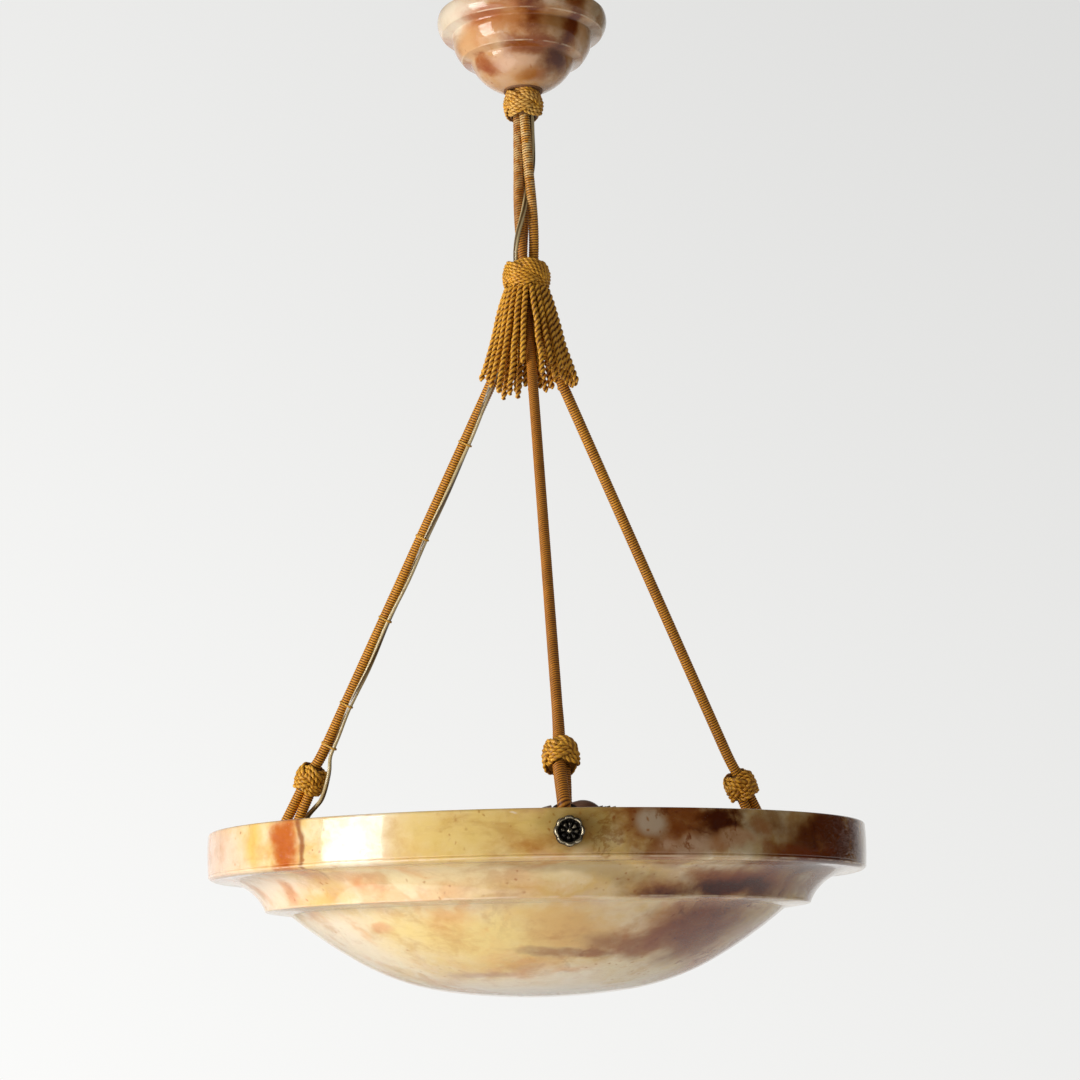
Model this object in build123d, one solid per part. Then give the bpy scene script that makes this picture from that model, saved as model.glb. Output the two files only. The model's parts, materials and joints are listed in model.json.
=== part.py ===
"""Alabaster bowl pendant: a turned stone bowl hung on three silk ropes from a stone ceiling cup.

Millimetres, +Z up. The origin is on the ceiling, at the middle of the ceiling plate's top face, and
the lamp hangs below it. An azimuth is measured from -Y, the front, towards +X. Along each rope the
place is given by its distance from the foot of its loop, and by how far it lies off the rope's line.
"""

import os
from math import atan2, cos, pi, radians, sin, sqrt, tan

from build123d import *

# ---------------------------------------------------------------- driving dimensions
SEAT_GAP = 0.3  # running clearance between pieces that move, or that only rest together
FIT_GAP = 0.15  # clearance of a pin in its hole, on the radius

# Ceiling plate, hook and hanging ring
PLATE_LENGTH = 88.0
PLATE_WIDTH = 20.0
PLATE_THICK = 2.0
PLATE_SCREW_SPACING = 68.0
PLATE_SCREW_HOLE = 2.25  # radius, for a 4 mm wood screw
HOOK_WIRE = 1.6  # radius
HOOK_BEND = 4.4  # radius of the hook's centre line
HOOK_DROP = 12.5  # from the ceiling to the middle of the hook's bend
HOOK_NUT_HEIGHT = 2.5
HOOK_NUT_ACROSS = 7.0
HOOK_START = 50.0  # degrees above level where the bend leaves the shank's jog
HOOK_END = -200.0
HOOK_JOG = 3.0  # radius of the jog
LINK_WIRE = 1.3
LINK_RADIUS = 5.0  # centre line of the hanging ring

# Rope cup, which gathers the three rope ends
CUP_EYE_WIRE = 1.3
CUP_EYE_RADIUS = 4.5
CUP_HEIGHT = 10.5
CUP_ROOF = 2.2
CUP_WALL = 1.3
CUP_EYE_ROOT = 1.2  # how far the eye sinks into the cup's roof
CUP_SCREW = 1.3  # radius of the screw that pinches a rope
CUP_SCREW_HEAD = 2.4
CUP_SCREW_STANDS = 1.4

# Terminal block
BLOCK_LENGTH = 16.0
BLOCK_WIDTH = 16.0
BLOCK_HEIGHT = 12.0
BLOCK_FROM_AXIS = 20.0
BLOCK_LEAD_HOLE = 3.1
BLOCK_LEAD_DEPTH = 8.0
BLOCK_ROUND = 1.5
BLOCK_SCREW = 1.6
BLOCK_SCREW_DEPTH = 3.0
BLOCK_SCREW_STANDS = 0.8
BLOCK_SCREW_PITCH = 8.0

# Ropes and lead
ROPE = 3.25  # radius
BUNDLE_RADIUS = 3.95  # from the lamp's axis to each rope's centre, in the bundle
LEAD = 1.75  # radius
LEAD_IN_BUNDLE = 6.15  # from the lamp's axis to the lead's centre
FRONT_AZIMUTH = 5.0
ROPE_COUNT = 3
TWIST_TOP = -63.0
TWIST_STEP_DROP = 16.5
TWIST_STEPS = 8
TWIST_PER_STEP = -14.0  # degrees, going down
SPREAD_Z = -211.5  # where the ropes part

# Canopy (the stone ceiling cup)
CANOPY_TOP = -3.2
CANOPY_RADIUS = 57.2
CANOPY_HEIGHT = 52.4
CANOPY_MOUTH = 47.5  # inner radius at the top
CANOPY_HOLE = 9.2
CANOPY_LIP_HEIGHT = 13.2
CANOPY_LIP_FOOT = 54.3
CANOPY_TIER_TOP = 47.4
CANOPY_TIER_FOOT = 41.0
CANOPY_TIER_DROP = 31.2
CANOPY_BELL_TOP = 35.0
CANOPY_BELL_DROP = 33.2
CANOPY_FLOOR = 6.2  # thickness round the hole
WASHER_RADIUS = 13.2
WASHER_THICK = 1.0

# Knots
CANOPY_KNOT_RADIUS = 13.5
CANOPY_KNOT_HEIGHT = 21.5
TASSEL_KNOT_RADIUS = 16.9
TASSEL_KNOT_HEIGHT = 21.1
TASSEL_KNOT_TOP = -174.6
END_KNOT_RADIUS = 10.9
END_KNOT_HEIGHT = 19.5
KNOT_RIDGE = 0.9  # how far the cords of a knot stand out
END_KNOT_PLACES = (34.0, 44.0, 36.0)  # along each rope: front, left, right
END_KNOT_RIDGE_COUNT = 3
KNOT_RIDGE_COUNT = 4

# Tassel fringe
FRINGE_HEAD_THICK = 2.5
FRINGE_HEAD_RADIUS = 13.0
FRINGE_CORD = 1.45  # radius at the foot
FRINGE_CORD_TOP = 1.0
FRINGE_OUTER_COUNT = 7  # in each third of the tassel
FRINGE_INNER_COUNT = 4
FRINGE_OUTER_TOP = 11.6
FRINGE_INNER_TOP = 9.4
FRINGE_OUTER_FOOT = 32.0
FRINGE_INNER_FOOT = 21.0
FRINGE_LENGTH = 66.0
FRINGE_UNEVEN = 9.0  # how much the cords' lengths differ
FRINGE_BESIDE_ROPE = 20.0  # degrees kept free beside each rope
FRINGE_INNER_BESIDE = 26.0
FRINGE_BESIDE_LEAD = 31.0
FRINGE_INNER_BESIDE_LEAD = 54.0

# Bowl
BOWL_RADIUS = 210.0
RIM_Z = -553.0
BAND_HEIGHT = 29.2
RIM_WALL = 7.5
RIM_ROUND = 1.6
RIM_INNER_DROP = 17.5
BAND_SWELL = 0.4
GROOVE_ABOVE = 2.8  # the turned groove, above the foot of the band
GROOVE = 0.5
COVE_START = 0.83  # share of the way from the ledge out to the band
COVE_MIDDLE = (0.286, 35.5)  # the same share, and below the rim
LEDGE_RADIUS = 174.3
LEDGE_DROP = 49.2
LEDGE_FALL = 2.6
DOME_ARCS = ((400.0, 8.3), (160.0, 29.0), (300.0, 39.6))  # each arc's radius and last slope
INNER_SHOULDER = (4.5, 21.5)  # in from the wall, and below the rim
INNER_FLANK = (14.3, 41.0)  # in from the ledge, and below the rim
BOWL_FOOT = 10.0  # thickness at the middle of the bottom

# Eye bolts, rings and rosettes
EYE_DROP = 13.6  # below the rim
EYE_WIRE = 1.3
EYE_RADIUS = 4.3
SHANK = 2.0
SHANK_HOLE = 2.2
RING_WIRE = 1.15
RING_RADIUS = 8.6
SHANK_IN_ROSETTE = 3.0
ROSETTE_RADIUS = 9.0
ROSETTE_THICK = 5.0
ROSETTE_CUP = 2.4  # depth of its hollow
ROSETTE_PETAL_COUNT = 8
ROSETTE_BOSS = 3.6

# Lamp bracket (three arms on the eye bolts) and the holder's strip
TAB_THICK = 1.2
TAB_RISE = 6.5
ARM_WIDTH = 12.0
ARM_THICK = 1.6
ARM_DROP = 19.6  # the arm's top at its heel, below the rim
ARM_HEEL = 4.9  # from the wall in to the heel
TAB_FOOT = 17.6  # below the rim
HUB_DROP = 44.0
HUB_RADIUS = 22.0
STRIP_WIDTH = 12.0
STRIP_THICK = 2.0
STRIP_TAIL = 13.0
RIVET = 2.0
RIVET_HEAD = 3.4
RIVET_HEAD_THICK = 1.2
RIVET_FROM_AXIS = 8.0

# Lampholder and lamp, along a slanting axis
HOLDER_X = 30.0
HOLDER_RISE = 4.8  # above the rim, of the cap's middle
HOLDER_TILT = 14.0
CAP_RADIUS = 14.6
CAP_WALL = 2.0
CAP_SKIRT = 8.0
CAP_BOSS = 7.5
CAP_BOSS_STANDS = 0.4
BODY_RADIUS = 14.0
BODY_WALL = 1.8
BODY_END = 36.0
BODY_LIP = 9.0
BODY_LIP_THICK = 1.5
INSERT_END = 10.0
INSERT_HEIGHT = 10.0
SPIGOT_WALL = 1.5
SPIGOT_START = -1.0
SHELL_BORE = 7.15
SHELL_WALL = 0.5
SHELL_END = 30.0
CONTACT = 2.0
CONTACT_HEIGHT = 3.5
SHADE_RING_WALL = 2.2
SHADE_RING_START = 17.0
SHADE_RING_WIDTH = 6.0
NIPPLE = 5.0
NIPPLE_BORE = 3.1
NIPPLE_STANDS = 6.0  # beyond the strip
NIPPLE_INSIDE = 8.5
NUT_APOTHEM = 6.0
NUT_HEIGHT = 2.6
LAMP_CAP = 6.85
LAMP_CAP_LENGTH = 18.0
LAMP_TIP = 2.6
LAMP_LENGTH = 78.0
GLOBE_RADIUS = 22.5
GLASS_NECK = 6.7
GLASS_WALL = 0.8

# Thread ties, as the lead lies there: along the left rope, off it outwards, and to its side
TIES = ((292, -4.8, 2.4), (223, -4.8, 2.4), (163, -4.8, 2.4), (100, -4.8, 2.4), (74, -7.6, 2.6))
TIE_WIDTH = 1.6
TIE_THICK = 0.7
TIE_RUN = 6.0  # the lead lies straight this far to each side of a tie
LEAD_FROM_BUNDLE = ((360, -1.2, 5.4), (330, -3.6, 4.6))  # the same way, above the first tie

# ---------------------------------------------------------------- values that follow
FULL_TURN = 360.0
AZIMUTHS = [FRONT_AZIMUTH + k * FULL_TURN / ROPE_COUNT for k in (0, -1, 1)]
SIDES = ("front", "left", "right")
hook_foot_z = -HOOK_DROP - HOOK_BEND
link_top_z = hook_foot_z + HOOK_WIRE + SEAT_GAP + LINK_WIRE
link_z = link_top_z - LINK_RADIUS
link_foot_z = link_z - LINK_RADIUS
cup_eye_z = link_foot_z + LINK_WIRE + SEAT_GAP + CUP_EYE_WIRE - CUP_EYE_RADIUS
cup_top_z = cup_eye_z - CUP_EYE_RADIUS - CUP_EYE_WIRE + CUP_EYE_ROOT
cup_bore = BUNDLE_RADIUS + ROPE + FIT_GAP
cup_radius = cup_bore + CUP_WALL
rope_top_z = cup_top_z - CUP_ROOF - SEAT_GAP
bundle_reach = LEAD_IN_BUNDLE + LEAD
knot_bore = bundle_reach + SEAT_GAP
canopy_foot_z = CANOPY_TOP - CANOPY_HEIGHT
canopy_knot_top = canopy_foot_z - WASHER_THICK - SEAT_GAP
fringe_top_z = TASSEL_KNOT_TOP - TASSEL_KNOT_HEIGHT - SEAT_GAP
wall_inner = BOWL_RADIUS - RIM_WALL
tab_outer = wall_inner - SEAT_GAP
tab_inner = tab_outer - TAB_THICK
eye_z = RIM_Z - EYE_DROP
eye_r = tab_inner - EYE_RADIUS - EYE_WIRE
ring_foot = (eye_r, eye_z + EYE_RADIUS - EYE_WIRE - RING_WIRE - FIT_GAP)
lean = atan2(ring_foot[0] - BUNDLE_RADIUS, SPREAD_Z - ring_foot[1])
ring_mid = (ring_foot[0] - RING_RADIUS * sin(lean), ring_foot[1] + RING_RADIUS * cos(lean))
loop_mid = (ring_mid[0] - RING_RADIUS * sin(lean), ring_mid[1] + RING_RADIUS * cos(lean))
loop_radius = RING_WIRE + ROPE + FIT_GAP
strand_off = ROPE + FIT_GAP
end_knot_bore = strand_off + ROPE + SEAT_GAP
tilt = radians(HOLDER_TILT)
hub_z = RIM_Z - HUB_DROP
block_foot_z = -PLATE_THICK - BLOCK_HEIGHT
cup_screw_z = cup_top_z - CUP_HEIGHT * 0.6
cap_end = -CAP_RADIUS - CAP_BOSS_STANDS
cap_inner = CAP_RADIUS - CAP_WALL
cap_floor_r = CAP_BOSS + FIT_GAP
cap_floor = -sqrt(cap_inner**2 - cap_floor_r**2)
spigot_radius = cap_inner - SEAT_GAP
lamp_start = INSERT_END + CONTACT_HEIGHT + SEAT_GAP


FROM_FOOT = (Align.CENTER, Align.CENTER, Align.MIN)


# ---------------------------------------------------------------- places
def around(radius, azimuth, z):
    """The point at a radius, an azimuth from the front towards +X, and a height."""
    a = radians(azimuth)
    return Vector(radius * sin(a), -radius * cos(a), z)


def outward(azimuth):
    return around(1, azimuth, 0)


def sideways(azimuth):
    """The level direction square to outward; at the left rope it points towards the front."""
    a = radians(azimuth)
    return Vector(cos(a), sin(a), 0)


def on_rope(azimuth, along, off=0.0, side=0.0):
    """A point by a rope: along its line from the loop's middle, off it outwards and sideways."""
    radius = loop_mid[0] - along * sin(lean) + off * cos(lean)
    height = loop_mid[1] + along * cos(lean) + off * sin(lean)
    return around(radius, azimuth, height) + sideways(azimuth) * side


def rope_frame(azimuth, along):
    """A plane square to a rope's line, with its Z up the rope and its X outwards."""
    up = on_rope(azimuth, 1) - on_rope(azimuth, 0)
    out = on_rope(azimuth, 0, 1) - on_rope(azimuth, 0)
    return Plane(origin=on_rope(azimuth, along), x_dir=out, z_dir=up)


def holder_frame(along):
    """A plane square to the lampholder's axis, with its Z from the cap towards the lamp."""
    axis = Vector(-cos(tilt), 0, -sin(tilt))
    start = Vector(HOLDER_X, 0, RIM_Z + HOLDER_RISE)
    return Plane(origin=start + axis * along, x_dir=(0, 1, 0), z_dir=axis)


# ---------------------------------------------------------------- helpers
def turned(*profile):
    """A solid of revolution about Z from a closed profile of edges in the XZ plane."""
    return revolve(make_face(Wire(profile)), Axis.Z)


def turned_points(*points):
    return revolve(make_face(Polyline(*[(r, 0, z) for r, z in points], close=True)), Axis.Z)


def tube(inner, outer, low, high):
    return turned_points((inner, low), (outer, low), (outer, high), (inner, high))


def bend_radii(points, tightest):
    """The largest arc that each corner's two runs leave room for, but no tighter than asked."""
    radii = []
    for before, here, after in zip(points, points[1:], points[2:]):
        into, out = here - before, after - here
        turn = into.get_angle(out)
        radii.append(max(0.45 * min(into.length, out.length) / tan(radians(turn) / 2), tightest))
    return radii


def cord(name, points, radius, ends=()):
    """A round cord along runs joined by tangent arcs; ends are arcs of a given radius."""
    radii = bend_radii(points, 0.0)
    for corner, value in ends:
        radii[corner] = value
    path = FilletPolyline(*points, radius=radii)
    start = Plane(origin=path @ 0, z_dir=path % 0)
    solid = sweep(start * Circle(radius), path=path)
    straight = pi * radius**2 * path.length
    print(
        f"{name}: {path.length:.0f} mm, tightest bend {min(radii):.1f} mm,"
        f" volume off by {100 * (solid.volume / straight - 1):.2f}%"
    )
    return solid


def knot(radius, bore, height, ridges):
    """A turned knot whose cords show as rounded ridges, about the Z axis and centred on it."""
    crown = height / 2
    shoulder = radius * 0.72
    waist = radius - KNOT_RIDGE
    span = 2 * (crown * 0.62) / ridges
    edges = [Line((bore, 0, -crown), (shoulder, 0, -crown))]
    low = -crown * 0.62
    edges.append(ThreePointArc((shoulder, 0, -crown), (radius * 0.92, 0, -crown * 0.87), (waist, 0, low)))
    for k in range(ridges):
        foot = low + k * span
        edges.append(
            ThreePointArc((waist, 0, foot), (radius, 0, foot + span / 2), (waist, 0, foot + span))
        )
    edges.append(ThreePointArc((waist, 0, -low), (radius * 0.92, 0, crown * 0.87), (shoulder, 0, crown)))
    edges.append(Line((shoulder, 0, crown), (bore, 0, crown)))
    edges.append(Line((bore, 0, crown), (bore, 0, -crown)))
    return turned(*edges)


def write(name, *solids):
    shape = solids[0] if len(solids) == 1 else Compound(children=list(solids))
    export_step(shape, f"parts/{name}.step")


# ---------------------------------------------------------------- ceiling fittings
def ceiling_plate():
    blank = SlotOverall(PLATE_LENGTH, PLATE_WIDTH) - Circle(HOOK_WIRE + FIT_GAP)
    for x in (-PLATE_SCREW_SPACING / 2, PLATE_SCREW_SPACING / 2):
        blank -= Pos(x, 0) * Circle(PLATE_SCREW_HOLE)
    return extrude(blank, -PLATE_THICK)


def ceiling_hook():
    """A bent hook: its shank through the plate, a jog to the back, and the bend open in front."""

    def on_bend(degrees_up):
        a = radians(degrees_up)
        return Vector(0, HOOK_BEND * cos(a), -HOOK_DROP + HOOK_BEND * sin(a))

    start = on_bend(HOOK_START)
    jog = Vector(0, 0, start.Z + start.Y / tan(radians(HOOK_START)))
    shank = FilletPolyline((0, 0, -FIT_GAP), jog, start, radius=HOOK_JOG)
    bend = ThreePointArc(start, on_bend((HOOK_START + HOOK_END) / 2), on_bend(HOOK_END))
    path = Wire([*shank.edges(), *bend.edges()])
    end = Plane(origin=(0, 0, -FIT_GAP), z_dir=(0, 0, -1))
    return sweep(end * Circle(HOOK_WIRE), path=path)


def hook_nut():
    nut = RegularPolygon(HOOK_NUT_ACROSS / 2, 6, major_radius=False) - Circle(HOOK_WIRE + FIT_GAP)
    return Pos(0, 0, -PLATE_THICK) * extrude(nut, -HOOK_NUT_HEIGHT)


def hanging_ring():
    return Pos(0, 0, link_z) * Rot(90, 0, 0) * Torus(LINK_RADIUS, LINK_WIRE)


def rope_cup():
    foot = cup_top_z - CUP_HEIGHT
    cup = Pos(0, 0, (cup_top_z + foot) / 2) * Cylinder(cup_radius, CUP_HEIGHT)
    cup = fillet(cup.edges().group_by(Axis.Z)[-1], CUP_WALL)
    depth = CUP_HEIGHT - CUP_ROOF
    cup -= Pos(0, 0, foot + depth / 2) * Cylinder(cup_bore, depth)
    cup += Pos(0, 0, cup_eye_z) * Rot(0, 90, 0) * Torus(CUP_EYE_RADIUS, CUP_EYE_WIRE)
    return cup - screw_frame(0) * Cylinder(CUP_SCREW + FIT_GAP, 4 * cup_bore, align=FROM_FOOT)


def screw_frame(radius):
    """A plane on the cup's screw, which faces the front rope, with its Z outwards."""
    azimuth = bundle_azimuth(0, 0)
    return Plane(origin=around(radius, azimuth, cup_screw_z), z_dir=outward(azimuth))


def cup_screw():
    shank = screw_frame(cup_bore) * Circle(CUP_SCREW)
    head = screw_frame(cup_radius + FIT_GAP) * Circle(CUP_SCREW_HEAD)
    length = CUP_WALL + FIT_GAP
    return extrude(shank, length) + extrude(head, CUP_SCREW_STANDS)


def terminal_block():
    middle = Pos(BLOCK_FROM_AXIS, 0, -PLATE_THICK - BLOCK_HEIGHT / 2)
    block = middle * Box(BLOCK_LENGTH, BLOCK_WIDTH, BLOCK_HEIGHT)
    block = fillet(block.edges().filter_by(Axis.Z), BLOCK_ROUND)
    hole = Pos(BLOCK_FROM_AXIS, 0, block_foot_z + BLOCK_LEAD_DEPTH / 2)
    block -= hole * Cylinder(BLOCK_LEAD_HOLE, BLOCK_LEAD_DEPTH)
    for place in screw_holes():
        block -= place * Cylinder(BLOCK_SCREW + FIT_GAP, 2 * BLOCK_SCREW_DEPTH)
    return block


def screw_holes():
    """The mouths of the block's two screw holes, in its front face."""
    z = -PLATE_THICK - BLOCK_HEIGHT / 3
    for x in (-BLOCK_SCREW_PITCH / 2, BLOCK_SCREW_PITCH / 2):
        yield Pos(BLOCK_FROM_AXIS + x, -BLOCK_WIDTH / 2, z) * Rot(90, 0, 0)


def terminal_screws():
    length = BLOCK_SCREW_DEPTH - SEAT_GAP + BLOCK_SCREW_STANDS
    shift = Pos(0, 0, BLOCK_SCREW_STANDS - length / 2)
    return [place * shift * Cylinder(BLOCK_SCREW, length) for place in screw_holes()]


# ---------------------------------------------------------------- canopy and knots
def canopy():
    """The ceiling cup: a swelling lip, a second tier and a bell, turned hollow."""
    top = CANOPY_TOP
    lip_foot, tier_foot = top - CANOPY_LIP_HEIGHT, top - CANOPY_TIER_DROP
    bell_top, foot = top - CANOPY_BELL_DROP, canopy_foot_z
    step = 1.4
    outline = [
        Line((CANOPY_MOUTH, 0, top), (CANOPY_RADIUS - 1, 0, top)),
        ThreePointArc(
            (CANOPY_RADIUS - 1, 0, top),
            (CANOPY_RADIUS, 0, top - 0.38 * CANOPY_LIP_HEIGHT),
            (CANOPY_LIP_FOOT, 0, lip_foot),
        ),
        Line((CANOPY_LIP_FOOT, 0, lip_foot), (CANOPY_TIER_TOP, 0, lip_foot - step)),
        ThreePointArc(
            (CANOPY_TIER_TOP, 0, lip_foot - step),
            (CANOPY_TIER_TOP - 1.8, 0, (lip_foot + tier_foot) / 2 - step),
            (CANOPY_TIER_FOOT, 0, tier_foot),
        ),
        Line((CANOPY_TIER_FOOT, 0, tier_foot), (CANOPY_BELL_TOP, 0, bell_top)),
        ThreePointArc(
            (CANOPY_BELL_TOP, 0, bell_top),
            (0.8 * CANOPY_BELL_TOP, 0, bell_top - 0.62 * (bell_top - foot)),
            (CANOPY_HOLE + 4, 0, foot),
        ),
        Line((CANOPY_HOLE + 4, 0, foot), (CANOPY_HOLE, 0, foot)),
    ]
    hollow = [
        (CANOPY_HOLE, foot),
        (CANOPY_HOLE, foot + CANOPY_FLOOR),
        (0.47 * CANOPY_BELL_TOP, foot + CANOPY_FLOOR + 1.4),
        (0.66 * CANOPY_BELL_TOP, bell_top - 7.3),
        (CANOPY_BELL_TOP - 8, bell_top - 0.8),
        (CANOPY_TIER_FOOT - 9, tier_foot + 2.7),
        (CANOPY_TIER_TOP - 9, lip_foot - 10.8),
        (CANOPY_TIER_TOP - 6.4, lip_foot - 1.8),
        (CANOPY_MOUTH, lip_foot + 5.2),
        (CANOPY_MOUTH, top),
    ]
    outline.append(Polyline(*[(r, 0, z) for r, z in hollow]))
    return turned(*[edge for part in outline for edge in part.edges()])


def canopy_washer():
    low = canopy_foot_z - WASHER_THICK
    return tube(knot_bore, WASHER_RADIUS, low, canopy_foot_z)


def canopy_knot():
    place = Pos(0, 0, canopy_knot_top - CANOPY_KNOT_HEIGHT / 2)
    return place * knot(CANOPY_KNOT_RADIUS, knot_bore, CANOPY_KNOT_HEIGHT, KNOT_RIDGE_COUNT)


def tassel_knot():
    place = Pos(0, 0, TASSEL_KNOT_TOP - TASSEL_KNOT_HEIGHT / 2)
    return place * knot(TASSEL_KNOT_RADIUS, knot_bore, TASSEL_KNOT_HEIGHT, KNOT_RIDGE_COUNT)


def end_knot(azimuth, along):
    shape = knot(END_KNOT_RADIUS, end_knot_bore, END_KNOT_HEIGHT, END_KNOT_RIDGE_COUNT)
    return rope_frame(azimuth, along) * shape


# ---------------------------------------------------------------- tassel fringe
def fringe_cord(azimuth, top_radius, foot_radius, length):
    """One hanging cord: six-sided, thicker at its foot, leaning out further as it falls."""
    sections = []
    steps = (0.0, 0.35, 0.7, 1.0)
    for t in steps:
        spread = 0.55 * t + 0.45 * t * t
        radius = top_radius + (foot_radius - top_radius) * spread
        thick = FRINGE_CORD_TOP + (FRINGE_CORD - FRINGE_CORD_TOP) * min(1.0, 2 * t)
        z = fringe_top_z - FRINGE_HEAD_THICK + SEAT_GAP - length * t
        place = Plane(origin=around(radius, azimuth, z), x_dir=outward(azimuth))
        sections.append(place * RegularPolygon(thick, 6))
    return loft(sections, ruled=True)


def fringe_azimuths(count, beside_rope, beside_lead):
    """The azimuths of the cords in the three gaps between ropes, clear of the ropes and lead."""
    front, left, right = AZIMUTHS
    gaps = (
        (front + beside_rope, right - beside_rope),
        (right + beside_rope, left + FULL_TURN - beside_rope),
        (left + beside_lead, front - beside_rope),
    )
    for low, high in gaps:
        for k in range(count):
            yield low + (high - low) * k / (count - 1)


def tassel_fringe():
    low = fringe_top_z - FRINGE_HEAD_THICK
    head = tube(knot_bore, FRINGE_HEAD_RADIUS, low, fringe_top_z)
    cords = []
    outer = fringe_azimuths(FRINGE_OUTER_COUNT, FRINGE_BESIDE_ROPE, FRINGE_BESIDE_LEAD)
    for k, azimuth in enumerate(outer):
        length = FRINGE_LENGTH + FRINGE_UNEVEN * (0.5 - 0.5 * cos(2.4 * k))
        cords.append(fringe_cord(azimuth, FRINGE_OUTER_TOP, FRINGE_OUTER_FOOT, length))
    inner = fringe_azimuths(FRINGE_INNER_COUNT, FRINGE_INNER_BESIDE, FRINGE_INNER_BESIDE_LEAD)
    for k, azimuth in enumerate(inner):
        length = FRINGE_LENGTH + FRINGE_UNEVEN * (0.7 + 0.3 * cos(1.7 * k))
        cords.append(fringe_cord(azimuth, FRINGE_INNER_TOP, FRINGE_INNER_FOOT, length))
    return head.fuse(*cords)


# ---------------------------------------------------------------- ropes, lead and ties
def bundle_azimuth(k, step):
    """The azimuth of rope k at a step of the twist, counted from the top."""
    return AZIMUTHS[k] - TWIST_PER_STEP * (TWIST_STEPS + 1 - step)


def twist_z(step):
    return TWIST_TOP - TWIST_STEP_DROP * step


def rope(k):
    """One rope: from the cup, twisted through the bundle, straight to its knot, round its ring."""
    azimuth, knot_at = AZIMUTHS[k], END_KNOT_PLACES[k]
    points = [around(BUNDLE_RADIUS, bundle_azimuth(k, 0), rope_top_z)]
    for step in range(TWIST_STEPS + 1):
        points.append(around(BUNDLE_RADIUS, bundle_azimuth(k, step), twist_z(step)))
    points.append(around(BUNDLE_RADIUS, azimuth, SPREAD_Z))
    half = END_KNOT_HEIGHT / 2
    points.append(on_rope(azimuth, knot_at + half + 3))
    points.append(on_rope(azimuth, knot_at + half - 7, strand_off))
    points.append(on_rope(azimuth, knot_at - half - 2, strand_off))
    points.append(on_rope(azimuth, -loop_radius, loop_radius + FIT_GAP))
    points.append(on_rope(azimuth, -loop_radius, -loop_radius - FIT_GAP))
    points.append(on_rope(azimuth, knot_at - half - 2, -strand_off))
    points.append(on_rope(azimuth, knot_at + half - 9, -strand_off))
    round_ring = loop_radius
    return cord(f"rope_{SIDES[k]}", points, ROPE, ends=((-3, round_ring), (-2, round_ring)))


# The lead's points between its ties, placed as the ties are
LEAD_BOWS = ((257, -5.9, 2.9), (193, -6.2, 2.6), (131, -6.4, 2.4))
# Its points near the lampholder: along the holder's axis, to its side, and below it
LEAD_AT_HOLDER = (
    (-4.7, 15.0, 43.2),
    (-23.5, 11.0, 38.1),
    (-36.2, 5.5, 28.4),
    (-41.2, 1.5, 16.8),
    (-40.1, 0.0, 6.8),
    (-31.0, 0.0, 0.0),
)


def lead_by_rope():
    """The lead's points beside the left rope, and past its knot, on the side of the lamp's axis."""
    knot_at, past = END_KNOT_PLACES[1], END_KNOT_RADIUS + LEAD + 3 * SEAT_GAP
    places = list(LEAD_FROM_BUNDLE)
    for k, (along, off, side) in enumerate(TIES):
        places += [(along + TIE_RUN, off, side), (along - TIE_RUN, off, side)]
        places += LEAD_BOWS[k : k + 1]
    places += [(knot_at + 17, -0.93 * past, 0.41 * past)]
    places += [(knot_at - 2, -past, 0.31 * past), (knot_at - 20, -past, 0.18 * past)]
    return [on_rope(AZIMUTHS[1], *place) for place in places]


def lead_in_bowl():
    """Its points in the bowl: down to the left arm, along it, over the hub and to the holder."""
    left = AZIMUTHS[1]
    above = LEAD + 2 * SEAT_GAP
    beside = STRIP_WIDTH / 2 + 5 * LEAD
    points = [around(eye_r - 26, left, RIM_Z - 2), around(eye_r - 31, left, RIM_Z - 16)]
    for radius, side in ((0.76 * eye_r, 1), (0.5 * eye_r, -1), (0.29 * eye_r, 1)):
        points.append(around(radius, left, arm_z(radius) + above) + sideways(left) * side)
    points.append(Vector(-1.2 * HUB_RADIUS, beside, hub_z + above + 1))
    points.append(Vector(0, beside, hub_z + above))
    points.append(Vector(HUB_RADIUS, beside + 1, hub_z + above + 1))
    frame = holder_frame(0)
    for along, side, below in LEAD_AT_HOLDER:
        points.append(frame.from_local_coords(Vector(side, below, along)))
    points.append(holder_frame(cap_end + NIPPLE_INSIDE - SEAT_GAP).origin)
    return points


def arm_z(radius):
    """The height of an arm's upper face."""
    outer = wall_inner - ARM_HEEL
    top = RIM_Z - ARM_DROP
    return top + (hub_z - top) * (outer - radius) / (outer - HUB_RADIUS)


def lead():
    """The two-core lead, from the terminal block to the lampholder."""
    block_x = BLOCK_FROM_AXIS
    points = [
        Vector(block_x, 0, block_foot_z + BLOCK_LEAD_DEPTH - 10 * SEAT_GAP),
        around(block_x - 0.6, 88, block_foot_z - 8.0),
        around(16.0, 82, -31.0),
        around(11.8, 76, -40.3),
        around(LEAD_IN_BUNDLE, bundle_azimuth(0, 0) - 60, canopy_foot_z + CANOPY_FLOOR),
    ]
    for step in range(TWIST_STEPS + 1):
        points.append(around(LEAD_IN_BUNDLE, bundle_azimuth(0, step) - 60, twist_z(step)))
    points.append(around(LEAD_IN_BUNDLE + 0.5, AZIMUTHS[0] - 62, SPREAD_Z))
    points += lead_by_rope() + lead_in_bowl()
    return cord("lead", points, LEAD)


def lead_ties():
    """Bands of thread round the left rope and the lead."""
    bands = []
    for along, off, side in TIES:
        frame = rope_frame(AZIMUTHS[1], along)
        here = frame.to_local_coords(on_rope(AZIMUTHS[1], along, off, side))

        def hull(margin):
            round_rope, round_lead = Circle(ROPE + margin), Circle(LEAD + margin)
            return make_hull(round_rope.edges() + (Pos(here.X, here.Y) * round_lead).edges())

        band = hull(FIT_GAP + TIE_THICK) - hull(FIT_GAP)
        bands.append(frame * extrude(band, TIE_WIDTH / 2, both=True))
    return bands


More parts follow.
